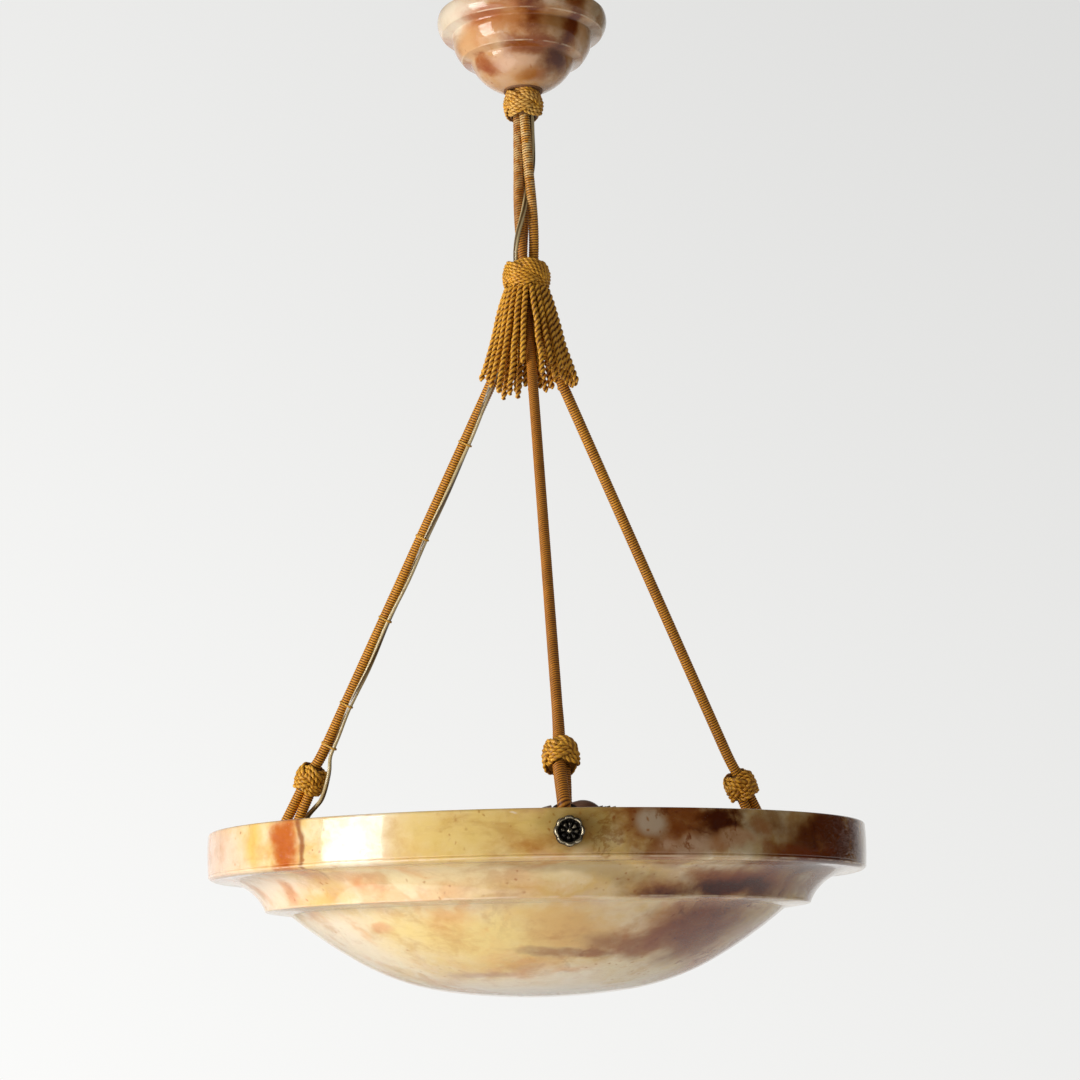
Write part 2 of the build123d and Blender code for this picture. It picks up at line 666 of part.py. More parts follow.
# ---------------------------------------------------------------- bowl
def bowl():
    """The stone bowl: a band, a cove, a small ledge and a shallow dome, turned hollow."""
    rim, outer = RIM_Z, BOWL_RADIUS
    band_foot = rim - BAND_HEIGHT
    ledge_z = rim - LEDGE_DROP
    dome_r, dome_z = 0.0, 0.0
    slope = 0.0
    arcs = []
    for radius, last in DOME_ARCS:
        ends = []
        for angle in ((slope + last) / 2, last):
            ends.append(
                (
                    dome_r + radius * (sin(radians(angle)) - sin(radians(slope))),
                    dome_z + radius * (cos(radians(slope)) - cos(radians(angle))),
                )
            )
        arcs.append(((dome_r, dome_z), *ends))
        dome_r, dome_z = ends[-1]
        slope = last
    foot_z = ledge_z - LEDGE_FALL - dome_z
    groove_z = band_foot + GROOVE_ABOVE
    wall = outer - RIM_WALL
    inner_foot = foot_z + BOWL_FOOT
    shoulder_in, shoulder_drop = INNER_SHOULDER
    shoulder_r = wall - shoulder_in
    flank_in, flank_drop = INNER_FLANK
    flank_r = LEDGE_RADIUS - flank_in
    cove_start = LEDGE_RADIUS + COVE_START * (outer - LEDGE_RADIUS)
    cove_share, cove_drop = COVE_MIDDLE
    cove_middle = LEDGE_RADIUS + cove_share * (outer - LEDGE_RADIUS)
    rise = rim - flank_drop - inner_foot
    hollow = (flank_r**2 + rise**2) / (2 * rise)
    half = flank_r / 2
    edges = [
        ThreePointArc(*[(r, 0, foot_z + z) for r, z in arc]) for arc in arcs
    ]
    edges += [
        Polyline((dome_r, 0, foot_z + dome_z), (LEDGE_RADIUS - 0.6, 0, ledge_z - 0.4)),
        Line((LEDGE_RADIUS - 0.6, 0, ledge_z - 0.4), (LEDGE_RADIUS, 0, ledge_z + 0.4)),
        ThreePointArc(
            (LEDGE_RADIUS, 0, ledge_z + 0.4),
            (cove_middle, 0, rim - cove_drop),
            (cove_start, 0, band_foot - 0.5),
        ),
        ThreePointArc(
            (cove_start, 0, band_foot - 0.5),
            (outer - 1.2, 0, band_foot + 0.3),
            (outer, 0, band_foot + 1.6),
        ),
        Polyline(
            (outer, 0, band_foot + 1.6),
            (outer, 0, groove_z - GROOVE),
            (outer - GROOVE, 0, groove_z),
            (outer, 0, groove_z + GROOVE),
        ),
        ThreePointArc(
            (outer, 0, groove_z + GROOVE),
            (outer + BAND_SWELL, 0, rim - BAND_HEIGHT / 2),
            (outer, 0, rim - RIM_ROUND),
        ),
        ThreePointArc(
            (outer, 0, rim - RIM_ROUND),
            (outer - 0.3 * RIM_ROUND, 0, rim - 0.3 * RIM_ROUND),
            (outer - RIM_ROUND, 0, rim),
        ),
        Line((outer - RIM_ROUND, 0, rim), (wall + 1, 0, rim)),
        Polyline((wall + 1, 0, rim), (wall, 0, rim - 1), (wall, 0, rim - RIM_INNER_DROP)),
        ThreePointArc(
            (wall, 0, rim - RIM_INNER_DROP),
            ((wall + shoulder_r) / 2 + 0.9, 0, rim - (RIM_INNER_DROP + shoulder_drop) / 2 - 0.9),
            (shoulder_r, 0, rim - shoulder_drop),
        ),
        Line((shoulder_r, 0, rim - shoulder_drop), (flank_r, 0, rim - flank_drop)),
        ThreePointArc(
            (flank_r, 0, rim - flank_drop),
            (half, 0, inner_foot + hollow - (hollow**2 - half**2) ** 0.5),
            (0, 0, inner_foot),
        ),
        Line((0, 0, inner_foot), (0, 0, foot_z)),
    ]
    stone = turned(*[edge for part in edges for edge in part.edges()])
    for azimuth in AZIMUTHS:
        drill = bolt_frame(azimuth, outer - RIM_WALL / 2) * Cylinder(SHANK_HOLE, 4 * RIM_WALL)
        stone -= drill
    return stone


def bolt_frame(azimuth, radius):
    """A plane on an eye bolt's line, with its Z outwards."""
    return Plane(around(radius, azimuth, eye_z), x_dir=sideways(azimuth), z_dir=outward(azimuth))


def eye_bolt(azimuth):
    eye = bolt_frame(azimuth, eye_r) * Rot(0, 90, 0) * Torus(EYE_RADIUS, EYE_WIRE)
    length = BOWL_RADIUS + SHANK_IN_ROSETTE - eye_r - EYE_RADIUS
    return eye + extrude(bolt_frame(azimuth, eye_r + EYE_RADIUS) * Circle(SHANK), length)


def rope_ring(azimuth):
    return rope_frame(azimuth, -RING_RADIUS) * Rot(0, 90, 0) * Torus(RING_RADIUS, RING_WIRE)


def petals(count, reach, core):
    """A flower outline: a core circle with round petals about it."""
    petal = reach * sin(pi / count) / (1 + sin(pi / count)) * 1.12
    flower = Circle(core)
    for k in range(count):
        flower += Rot(0, 0, 360 * k / count) * Pos(reach - petal, 0) * Circle(petal)
    return flower


def rosette(azimuth):
    """A scalloped brass cup with a small flower on its floor, screwed onto the eye bolt."""
    seat = bolt_frame(azimuth, BOWL_RADIUS + BAND_SWELL)
    outline = petals(ROSETTE_PETAL_COUNT, ROSETTE_RADIUS, ROSETTE_RADIUS * 0.72)
    hollow = petals(ROSETTE_PETAL_COUNT, ROSETTE_RADIUS * 0.84, ROSETTE_RADIUS * 0.6)
    flower = petals(ROSETTE_PETAL_COUNT - 2, ROSETTE_BOSS, ROSETTE_BOSS * 0.6)
    blank = extrude(outline, ROSETTE_THICK)
    blank -= Pos(0, 0, ROSETTE_THICK) * extrude(hollow, -ROSETTE_CUP)
    blank += Pos(0, 0, ROSETTE_THICK - ROSETTE_CUP) * extrude(flower, ROSETTE_CUP * 0.6)
    bore = SHANK_IN_ROSETTE - BAND_SWELL + SEAT_GAP
    blank -= Pos(0, 0, bore / 2) * Cylinder(SHANK + FIT_GAP, bore)
    return seat * blank


# ---------------------------------------------------------------- lamp bracket
def lamp_bracket():
    """Three flat arms from the eye bolts down to a round hub."""
    heel = wall_inner - ARM_HEEL
    tab_foot, arm_top = RIM_Z - TAB_FOOT, RIM_Z - ARM_DROP
    inner_end = HUB_RADIUS - 2
    profile = [
        (tab_outer, 0, eye_z + TAB_RISE),
        (tab_outer, 0, tab_foot),
        (tab_outer - 0.8 * TAB_THICK, 0, tab_foot - ARM_THICK),
        (heel + 0.3, 0, arm_top - ARM_THICK + 0.1),
        (inner_end, 0, hub_z - ARM_THICK),
        (inner_end, 0, hub_z),
        (HUB_RADIUS, 0, hub_z),
        (heel, 0, arm_top),
        (tab_inner, 0, tab_foot),
        (tab_inner, 0, eye_z + TAB_RISE),
    ]
    blank = extrude(make_face(Polyline(*profile, close=True)), ARM_WIDTH / 2, both=True)
    blank -= Pos(tab_outer, 0, eye_z) * Rot(0, 90, 0) * Cylinder(SHANK_HOLE, 8 * TAB_THICK)
    bracket = Pos(0, 0, hub_z - ARM_THICK / 2) * Cylinder(HUB_RADIUS, ARM_THICK)
    for azimuth in AZIMUTHS:
        bracket += Rot(0, 0, azimuth - 90) * blank
    for x in (-RIVET_FROM_AXIS, RIVET_FROM_AXIS):
        bracket -= Pos(x, 0, hub_z) * Cylinder(RIVET + FIT_GAP, 6 * ARM_THICK)
    return bracket


def holder_strip():
    """A bent strip: its foot on the hub, its upright square to the lampholder's axis."""
    seat = holder_frame(cap_end - STRIP_THICK)
    drop = (seat.origin.Z - hub_z - STRIP_THICK / 2) / cos(tilt)
    upright = Pos(0, drop / 2) * Rectangle(STRIP_WIDTH, drop) + Circle(STRIP_WIDTH / 2 + 0.5)
    upright -= Circle(NIPPLE + FIT_GAP)
    strip = extrude(seat * upright, STRIP_THICK)
    reach = seat.origin.X + drop * sin(tilt) + STRIP_THICK / 2
    length = reach + STRIP_TAIL
    foot = Pos(reach - length / 2, 0, hub_z + STRIP_THICK / 2) * Box(length, STRIP_WIDTH, STRIP_THICK)
    for x in (-RIVET_FROM_AXIS, RIVET_FROM_AXIS):
        foot -= Pos(x, 0, hub_z) * Cylinder(RIVET + FIT_GAP, 6 * STRIP_THICK)
    return strip + foot


def bracket_rivets():
    top, foot = hub_z + STRIP_THICK, hub_z - ARM_THICK
    profile = (
        (0, top + RIVET_HEAD_THICK),
        (RIVET_HEAD * 0.7, top + RIVET_HEAD_THICK),
        (RIVET_HEAD, top),
        (RIVET, top),
        (RIVET, foot),
        (RIVET_HEAD, foot),
        (RIVET_HEAD * 0.7, foot - RIVET_HEAD_THICK),
        (0, foot - RIVET_HEAD_THICK),
    )
    rivet = turned_points(*profile)
    return [Pos(x, 0, 0) * rivet for x in (-RIVET_FROM_AXIS, RIVET_FROM_AXIS)]


# ---------------------------------------------------------------- lampholder and lamp
def on_holder(shape):
    return holder_frame(0) * shape


def holder_cap():
    """The dome over the lampholder, with a flat boss where the nipple goes through."""
    hole = NIPPLE + FIT_GAP
    boss_z = -sqrt(CAP_RADIUS**2 - CAP_BOSS**2)

    def on_dome(radius):
        a = radians(28)
        return (radius * cos(a), 0, -radius * sin(a))

    outside = ThreePointArc((CAP_BOSS, 0, boss_z), on_dome(CAP_RADIUS), (CAP_RADIUS, 0, 0))
    inside = ThreePointArc((cap_inner, 0, 0), on_dome(cap_inner), (cap_floor_r, 0, cap_floor))
    skirt = [(CAP_RADIUS, 0), (CAP_RADIUS, CAP_SKIRT), (cap_inner, CAP_SKIRT), (cap_inner, 0)]
    boss = [(cap_floor_r, cap_floor), (hole, cap_floor), (hole, cap_end), (CAP_BOSS, cap_end)]
    boss.append((CAP_BOSS, boss_z))
    edges = [outside, inside, *[Polyline(*[(r, 0, z) for r, z in run]) for run in (skirt, boss)]]
    return on_holder(turned(*[edge for part in edges for edge in part.edges()]))


def holder_body():
    spigot = spigot_radius
    bore = spigot - SPIGOT_WALL
    skirt = BODY_RADIUS - BODY_WALL
    shoulder = CAP_SKIRT + SEAT_GAP
    lip_end = INSERT_END + BODY_LIP_THICK
    profile = (
        (bore, SPIGOT_START),
        (spigot, SPIGOT_START),
        (spigot, shoulder),
        (BODY_RADIUS, shoulder),
        (BODY_RADIUS, BODY_END),
        (skirt, BODY_END),
        (skirt, lip_end),
        (BODY_LIP, lip_end),
        (BODY_LIP, INSERT_END),
        (bore, INSERT_END),
    )
    return on_holder(turned_points(*profile))


def holder_insert():
    radius = spigot_radius - SPIGOT_WALL - SEAT_GAP
    start = INSERT_END - INSERT_HEIGHT
    return on_holder(tube(0, radius, start, INSERT_END))


def screw_shell():
    return on_holder(tube(SHELL_BORE, SHELL_BORE + SHELL_WALL, INSERT_END, SHELL_END))


def centre_contact():
    return on_holder(tube(0, CONTACT, INSERT_END, INSERT_END + CONTACT_HEIGHT))


def shade_ring():
    inner = BODY_RADIUS + FIT_GAP
    end = SHADE_RING_START + SHADE_RING_WIDTH
    return on_holder(tube(inner, inner + SHADE_RING_WALL, SHADE_RING_START, end))


def nipple():
    start = cap_end - STRIP_THICK - NIPPLE_STANDS
    return on_holder(tube(NIPPLE_BORE, NIPPLE, start, cap_end + NIPPLE_INSIDE))


def nipple_nuts():
    flat = RegularPolygon(NUT_APOTHEM, 6, major_radius=False) - Circle(NIPPLE + FIT_GAP)
    nut = extrude(flat, NUT_HEIGHT)
    outside = cap_end - STRIP_THICK - NUT_HEIGHT
    return [on_holder(Pos(0, 0, z) * nut) for z in (outside, cap_floor)]


def lamp_cap():
    start = lamp_start
    end = start + LAMP_CAP_LENGTH
    profile = (
        (0, start),
        (LAMP_TIP, start),
        (LAMP_CAP - 1.2, start + 2.4),
        (LAMP_CAP, start + 4),
        (LAMP_CAP, end),
        (0, end),
    )
    return on_holder(turned_points(*profile))


def lamp_glass():
    """The lamp's thin glass: a neck that flares into a round globe."""
    neck_z = lamp_start + LAMP_CAP_LENGTH
    middle = lamp_start + LAMP_LENGTH - GLOBE_RADIUS

    def side(radius, neck):
        join = radius * cos(radians(35))
        return [
            Line((neck, 0, neck_z), (neck, 0, neck_z + 3)),
            ThreePointArc(
                (neck, 0, neck_z + 3),
                (neck + 0.3 * (join - neck), 0, neck_z + 10),
                (join, 0, middle - radius * sin(radians(35))),
            ),
            ThreePointArc(
                (join, 0, middle - radius * sin(radians(35))),
                (radius * cos(radians(20)), 0, middle + radius * sin(radians(20))),
                (0, 0, middle + radius),
            ),
        ]

    outside = side(GLOBE_RADIUS, GLASS_NECK)
    inside = side(GLOBE_RADIUS - GLASS_WALL, GLASS_NECK - GLASS_WALL)
    closing = [
        Line((0, 0, middle + GLOBE_RADIUS), (0, 0, middle + GLOBE_RADIUS - GLASS_WALL)),
        Line((GLASS_NECK - GLASS_WALL, 0, neck_z), (GLASS_NECK, 0, neck_z)),
    ]
    parts = [*outside, *inside, *closing]
    return on_holder(turned(*[edge for part in parts for edge in part.edges()]))


# ---------------------------------------------------------------- the files
def write_all():
    os.makedirs("parts", exist_ok=True)
    write("ceiling_plate", ceiling_plate())
    write("ceiling_hook", ceiling_hook())
    write("hook_nut", hook_nut())
    write("terminal_block", terminal_block())
    write("terminal_screws", *terminal_screws())
    write("hanging_ring", hanging_ring())
    write("rope_cup", rope_cup())
    write("cup_screw", cup_screw())
    write("canopy", canopy())
    write("canopy_washer", canopy_washer())
    write("canopy_knot", canopy_knot())
    write("tassel_knot", tassel_knot())
    write("tassel_fringe", tassel_fringe())
    for k, side in enumerate(SIDES):
        azimuth = AZIMUTHS[k]
        write(f"rope_{side}", rope(k))
        write(f"end_knot_{side}", end_knot(azimuth, END_KNOT_PLACES[k]))
        write(f"rope_ring_{side}", rope_ring(azimuth))
        write(f"eye_bolt_{side}", eye_bolt(azimuth))
        write(f"rosette_{side}", rosette(azimuth))
    write("lead", lead())
    write("lead_ties", *lead_ties())
    write("bowl", bowl())
    write("lamp_bracket", lamp_bracket())
    write("holder_strip", holder_strip())
    write("bracket_rivets", *bracket_rivets())
    write("holder_cap", holder_cap())
    write("holder_body", holder_body())
    write("holder_insert", holder_insert())
    write("screw_shell", screw_shell())
    write("centre_contact", centre_contact())
    write("shade_ring", shade_ring())
    write("nipple", nipple())
    write("nipple_nuts", *nipple_nuts())
    write("lamp_cap", lamp_cap())
    write("lamp_glass", lamp_glass())


if __name__ == "__main__":
    write_all()
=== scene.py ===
"""Alabaster bowl pendant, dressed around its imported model.

The stone bowl and ceiling cup are turned again with fine profiles, the silk ropes are wound, the
knots are laced, and the tassel is made of twisted cords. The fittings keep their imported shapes.
Sizes are given in millimetres and vectors in metres, +Z up, with the origin on the ceiling. An
azimuth is measured in degrees from -Y, the front, towards +X.
"""

from __future__ import annotations

import json
import logging
import math
import random
import sys
from collections.abc import Callable, Sequence
from dataclasses import dataclass, field
from enum import Enum

import bmesh
import bpy
from mathutils import Matrix, Vector

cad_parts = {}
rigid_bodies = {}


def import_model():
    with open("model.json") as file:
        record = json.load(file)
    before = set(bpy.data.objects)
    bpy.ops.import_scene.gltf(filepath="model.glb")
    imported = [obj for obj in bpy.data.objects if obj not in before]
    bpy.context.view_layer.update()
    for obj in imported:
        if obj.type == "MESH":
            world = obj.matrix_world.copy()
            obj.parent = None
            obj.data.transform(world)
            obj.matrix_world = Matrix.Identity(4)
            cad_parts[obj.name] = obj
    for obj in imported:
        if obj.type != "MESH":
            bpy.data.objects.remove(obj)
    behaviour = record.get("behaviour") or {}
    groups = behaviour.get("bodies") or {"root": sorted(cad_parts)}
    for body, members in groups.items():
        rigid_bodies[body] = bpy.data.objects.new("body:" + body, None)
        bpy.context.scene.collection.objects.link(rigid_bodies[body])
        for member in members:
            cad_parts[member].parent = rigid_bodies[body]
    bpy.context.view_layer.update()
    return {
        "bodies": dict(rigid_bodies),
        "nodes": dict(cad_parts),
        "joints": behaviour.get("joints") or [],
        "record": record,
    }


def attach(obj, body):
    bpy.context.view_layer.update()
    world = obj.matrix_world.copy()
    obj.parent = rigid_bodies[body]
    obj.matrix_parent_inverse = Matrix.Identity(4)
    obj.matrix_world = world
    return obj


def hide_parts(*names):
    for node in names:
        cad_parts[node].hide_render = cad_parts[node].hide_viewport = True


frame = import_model()
LOG = logging.getLogger("pendant")
MM = 0.001
TINY = 1e-9
SWEPT_MERGE = 1e-7
TURNED_MERGE = 1e-6
Pair = tuple[float, float]
Triple = tuple[float, float, float]
Colour = Triple


# ------------------------------------------------------------------ shader graphs
def operator(operation: str, reflected: bool = False) -> Callable[..., Value]:
    """Makes an operator of Value out of a Math node.

    Args:
        operation: The node's operation.
        reflected: Whether the value is the second term.

    Returns:
        The method.
    """

    def method(value: Value, *other: Term) -> Value:
        """Puts the node on the value and on the other term, where there is one."""
        return value.graph.math(operation, *((*other, value) if reflected else (value, *other)))

    return method


class Value:
    """A shader socket that takes part in Python arithmetic."""

    __add__, __radd__ = operator("ADD"), operator("ADD", True)
    __sub__, __rsub__ = operator("SUBTRACT"), operator("SUBTRACT", True)
    __mul__, __rmul__ = operator("MULTIPLY"), operator("MULTIPLY", True)
    __abs__ = operator("ABSOLUTE")

    def __init__(self, graph: Graph, socket: bpy.types.NodeSocket) -> None:
        """Wraps one output socket of a graph."""
        self.graph = graph
        self.socket = socket

    def other(self, output: str) -> Value:
        """Another output of the same node."""
        return Value(self.graph, self.socket.node.outputs[output])

    def step(self, low: float, high: float) -> Value:
        """A soft step from 0 at low to 1 at high; with high below low it falls.

        Args:
            low: The value at which the step is 0.
            high: The value at which it is 1.

        Returns:
            The step, between 0 and 1.
        """
        names = ("Value", "From Min", "From Max", "To Min", "To Max")
        ends = (low, high, 0.0, 1.0) if high > low else (high, low, 1.0, 0.0)
        inputs = dict(zip(names, (self, *ends)))
        return self.graph.node("ShaderNodeMapRange", inputs, interpolation_type="SMOOTHSTEP")


Term = Value | float


class Graph:
    """A material's node tree, with the few kinds of node that the finishes are written in."""

    def __init__(self, name: str) -> None:
        """Makes a material whose Principled shader is ready to be fed.

        Args:
            name: The material's name.
        """
        self.material = bpy.data.materials.new(name)
        self.material.use_nodes = True
        self.tree = self.material.node_tree
        self.shader = self.tree.nodes["Principled BSDF"]

    def node(
        self,
        kind: str,
        inputs: dict[str | int, object] | None = None,
        output: str | int = 0,
        stops: Sequence[tuple[float, Colour]] = (),
        **settings: str,
    ) -> Value:
        """Adds a node, sets its settings, and then its sockets.

        Args:
            kind: The node's type name.
            inputs: Values or links, by socket name or number.
            output: The output that is wanted.
            stops: A colour ramp's places and colours.
            settings: The node's other settings, such as its operation.

        Returns:
            The output.
        """
        node = self.tree.nodes.new(kind)
        for key, setting in settings.items():
            setattr(node, key, setting)
        for k, (place, colour) in enumerate(stops):
            elements = node.color_ramp.elements
            element = elements[k] if k < len(elements) else elements.new(1.0)
            element.position = place
            element.color = (*colour, 1.0)
        for key, given in (inputs or {}).items():
            self.fill(node.inputs[key], given)
        return Value(self, node.outputs[output])

    def fill(self, socket: bpy.types.NodeSocket, given: Value | float | Triple | Vector) -> None:
        """Links a value to a socket, or sets a number, a vector or a colour on it.

        Args:
            socket: The socket.
            given: What goes into it.
        """
        if isinstance(given, Value):
            self.tree.links.new(given.socket, socket)
        else:
            socket.default_value = (*given, 1.0) if socket.type == "RGBA" else given

    def math(self, operation: str, *terms: Term) -> Value:
        """A Math node on one or two terms."""
        return self.node("ShaderNodeMath", dict(enumerate(terms)), operation=operation)

    def vectors(self, operation: str, inputs: dict[str | int, object], output: str | int = 0) -> Value:
        """A Vector Math node."""
        return self.node("ShaderNodeVectorMath", inputs, output, operation=operation)

    def mix(self, factor: Term, low: Value | Colour, high: Value | Colour, blend: str = "MIX") -> Value:
        """Mixes two colours.

        Args:
            factor: 0 gives low and 1 gives high.
            low: The first colour.
            high: The second colour.
            blend: The way they are mixed.

        Returns:
            The mixed colour.
        """
        inputs = {0: factor, 6: low, 7: high}
        return self.node("ShaderNodeMix", inputs, 2, data_type="RGBA", blend_type=blend)

    def place(self, output: str = "Object") -> Value:
        """The surface's own coordinates: Object, or UV where a pattern follows the piece."""
        return self.node("ShaderNodeTexCoord", output=output)

    def parts(self, vector: Value) -> tuple[Value, Value, Value]:
        """A vector's three numbers."""
        x = self.node("ShaderNodeSeparateXYZ", {0: vector})
        return x, x.other("Y"), x.other("Z")

    def moved(self, vector: Value, scale: Triple, turn: Triple = (0.0, 0.0, 0.0)) -> Value:
        """A vector scaled and turned by a Mapping node."""
        return self.node("ShaderNodeMapping", {"Vector": vector, "Rotation": turn, "Scale": scale})

    def warped(self, vector: Value, size: float, reach: float, detail: float = 3.0) -> Value:
        """A vector pushed about by noise.

        Args:
            vector: The coordinates.
            size: The size of the noise's lumps, in metres.
            reach: How far they push, in metres.
            detail: The noise's detail.

        Returns:
            The pushed coordinates.
        """
        lumps = {"Vector": vector, "Scale": 1 / size, "Detail": detail}
        push = self.node("ShaderNodeTexNoise", lumps, "Color")
        centred = self.vectors("SUBTRACT", {0: push, 1: (0.5, 0.5, 0.5)})
        scaled = self.vectors("SCALE", {0: centred, "Scale": 2 * reach})
        return self.vectors("ADD", {0: vector, 1: scaled})

    def noise(self, vector: Value, size: float, detail: float = 4.0, rough: float = 0.55) -> Value:
        """Noise whose lumps have a size in metres."""
        inputs = {"Vector": vector, "Scale": 1 / size, "Detail": detail, "Roughness": rough}
        return self.node("ShaderNodeTexNoise", inputs, "Fac")

    def cells(self, vector: Value, size: float) -> Value:
        """The distance in a cell pattern whose cells have a size in metres."""
        return self.node("ShaderNodeTexVoronoi", {"Vector": vector, "Scale": 1 / size}, "Distance")

    def crest(self, laps: Value) -> Value:
        """1 at every whole number of laps and 0 half-way between them."""
        return abs(self.math("COSINE", laps * math.pi))

    def bump(self, height: Value, reach: float, strength: float) -> Value:
        """A Bump node's normal, where a height of 1 is a reach in metres."""
        inputs = {"Height": height, "Distance": reach, "Strength": strength}
        return self.node("ShaderNodeBump", inputs)

    def feed(self, **sockets: Value | float | Triple) -> bpy.types.Material:
        """Feeds the shader's sockets.

        Args:
            sockets: What goes into each, by its name with underscores for spaces.

        Returns:
            The material.
        """
        for name, given in sockets.items():
            self.fill(self.shader.inputs[name.replace("_", " ").title().replace("Ior", "IOR")], given)
        return self.material

    def rays(self) -> tuple[Value, Value]:
        """Whether a ray comes from the camera, and whether by a mirror or through glass."""
        camera = self.node("ShaderNodeLightPath", output="Is Camera Ray")
        return camera, camera.other("Is Glossy Ray") + camera.other("Is Transmission Ray")

    def blended(self, factor: Value, low: Value, high: Value) -> Value:
        """A Mix Shader node."""
        return self.node("ShaderNodeMixShader", {0: factor, 1: low, 2: high})

    def show(self, shader: Value) -> None:
        """Makes a shader the result of the tree."""
        output = next(node for node in self.tree.nodes if node.type.startswith("OUTPUT"))
        self.tree.links.new(shader.socket, output.inputs["Surface"])


def dimmed(colour: Colour, share: float) -> Colour:
    """A share of a colour's brightness."""
    return tuple(share * part for part in colour)


# ------------------------------------------------------------------ finishes
@dataclass(frozen=True)
class Patch:
    """A cloud of one colour in the stone: a torn ellipsoid about a place, with its half sizes in mm."""

    azimuth: float
    radius: float
    height: float
    wide: float
    deep: float
    tall: float
    tint: Colour
    strength: float = 0.9
    torn: float = 1.0


@dataclass(frozen=True)
class Alabaster:
    """Polished alabaster: honey and cream clouds, patches of colour, rusty folds, dark veins, and thin painted
    highlight lines along its edges.
    """

    name: str
    pale: Colour
    honey: Colour
    rust: Colour
    shade: Colour
    patches: tuple[Patch, ...]
    # the edge rings, radius and height in mm, where thin painted highlight lines run
    worn: tuple[Pair, ...]
    cloud: float = 0.11
    mottle: Colour = (0.74, 0.52, 0.34)
    wisp: Colour = (0.66, 0.44, 0.28)
    glow: Colour = (0.56, 0.31, 0.15)
    vein: Colour = (0.40, 0.2, 0.12)
    speck: Colour = (0.55, 0.24, 0.07)
    # edge is the colour of the painted highlight lines along the stone's edges
    edge: Colour = (0.88, 0.68, 0.46)
    warm: tuple[tuple[Colour, float, float], ...] = (
        ((0.96, 0.74, 0.45), 0.42, 0.12),
        ((0.82, 0.54, 0.24), 0.15, 0.02),
    )

    def clouds(self, g: Graph, here: Value, fine: Value) -> Value:
        """The stone's ground: soft clouds, with darker ones at the back.

        Args:
            g: The material's graph.
            here: The place on the stone.
            fine: Fine noise.

        Returns:
            The ground's colour.
        """
        soft = g.noise(g.warped(g.moved(here, (1.0, 1.0, 1.5)), 0.12, 0.05), self.cloud, 5.0, 0.55)
        stops = (0.36, self.pale), (0.47, self.honey), (0.58, self.pale), (0.7, self.honey)
        ground = g.node("ShaderNodeValToRGB", {"Fac": soft * 0.72 + fine * 0.28}, stops=stops)
        back = g.parts(here)[1] + (soft - 0.5) * 0.2
        dark = g.noise(g.warped(here, 0.09, 0.05), 0.09, 5.0, 0.6)
        return g.mix(back.step(0.0, 0.07) * dark.step(0.47, 0.62) * 0.9, ground, self.shade)

    def patched(self, g: Graph, here: Value, stone: Value) -> Value:
        """Lays the patches over the stone.

        Args:
            g: The material's graph.
            here: The place on the stone.
            stone: The colour below.

        Returns:
            The colour with the patches on it.
        """
        torn = (g.noise(g.moved(here, (1.0, 1.0, 1.4)), 0.026, 5.0, 0.55) - 0.5) * 2.2
        bent = g.warped(here, 0.05, 0.014)
        for patch in self.patches:
            inputs = {
                "Vector": bent,
                "Location": around(patch.radius, patch.azimuth, patch.height),
                "Rotation": (0.0, 0.0, math.radians(patch.azimuth)),
                "Scale": (patch.wide * MM, patch.deep * MM, patch.tall * MM),
            }
            inside = g.node("ShaderNodeMapping", inputs, vector_type="TEXTURE")
            reach = g.vectors("LENGTH", {0: inside}, "Value") + torn * patch.torn
            stone = g.mix(reach.step(1.45, 0.35) * patch.strength, stone, patch.tint)
        return stone

    def veined(self, g: Graph, here: Value, fine: Value, stone: Value) -> Value:
        """Adds what runs through the stone: mottles, wisps, rusty folds, dark veins and specks.

        Args:
            g: The material's graph.
            here: The place on the stone.
            fine: Fine noise.
            stone: The colour below.

        Returns:
            The veined colour.
        """
        drawn = g.warped(g.moved(here, (1.0, 1.0, 2.2), (0.2, -0.3, 0.0)), 0.05, 0.04, 5.0)
        wisps = g.noise(drawn, 0.05, 6.0, 0.6)
        folds = g.warped(g.moved(here, (1.0, 1.0, 1.3), (0.3, 0.2, 0.5)), 0.08, 0.05, 5.0)
        streak = abs(g.noise(folds, 0.1, 4.0, 0.6) - 0.5).step(0.09, 0.0)
        thread = abs(g.noise(g.warped(here, 0.04, 0.02, 6.0), 0.06, 7.0, 0.66) - 0.5).step(0.03, 0.0)
        strong = g.parts(here)[0].step(-0.02, 0.1) * 0.65 + 0.15
        dots = g.cells(g.warped(here, 0.01, 0.004), 0.006).step(0.24, 0.05)
        stone = g.mix(fine.step(0.48, 0.72) * 0.55, stone, self.mottle, "MULTIPLY")
        stone = g.mix(wisps.step(0.52, 0.7) * 0.5, stone, self.wisp, "MULTIPLY")
        stone = g.mix(wisps.step(0.44, 0.3) * 0.22, stone, self.glow)
        for mask, tint in (
            (streak * g.noise(here, 0.07, 2.0).step(0.46, 0.66) * 0.5, self.rust),
            (thread * g.noise(here, 0.045, 3.0).step(0.5, 0.68) * strong, self.vein),
            (dots * g.noise(here, 0.03, 2.0).step(0.5, 0.64) * 0.6, self.speck),
        ):
            stone = g.mix(mask, stone, tint, "MULTIPLY")
        return stone

    def rubbed(self, g: Graph, here: Value, fine: Value, stone: Value) -> Value:
        """Warms the stone's darks, and paints thin pale lines along its edge rings as painted highlights.

        Args:
            g: The material's graph.
            here: The place on the stone.
            fine: Fine noise.
            stone: The colour below.

        Returns:
            The colour of the used stone.
        """
        for tint, light, dark in self.warm:
            shown = g.node("ShaderNodeRGBToBW", {0: stone})
            stone = g.mix(shown.step(light, dark), stone, tint, "MULTIPLY")
        x, y, z = g.parts(here)
        out = g.math("SQRT", x * x + y * y)
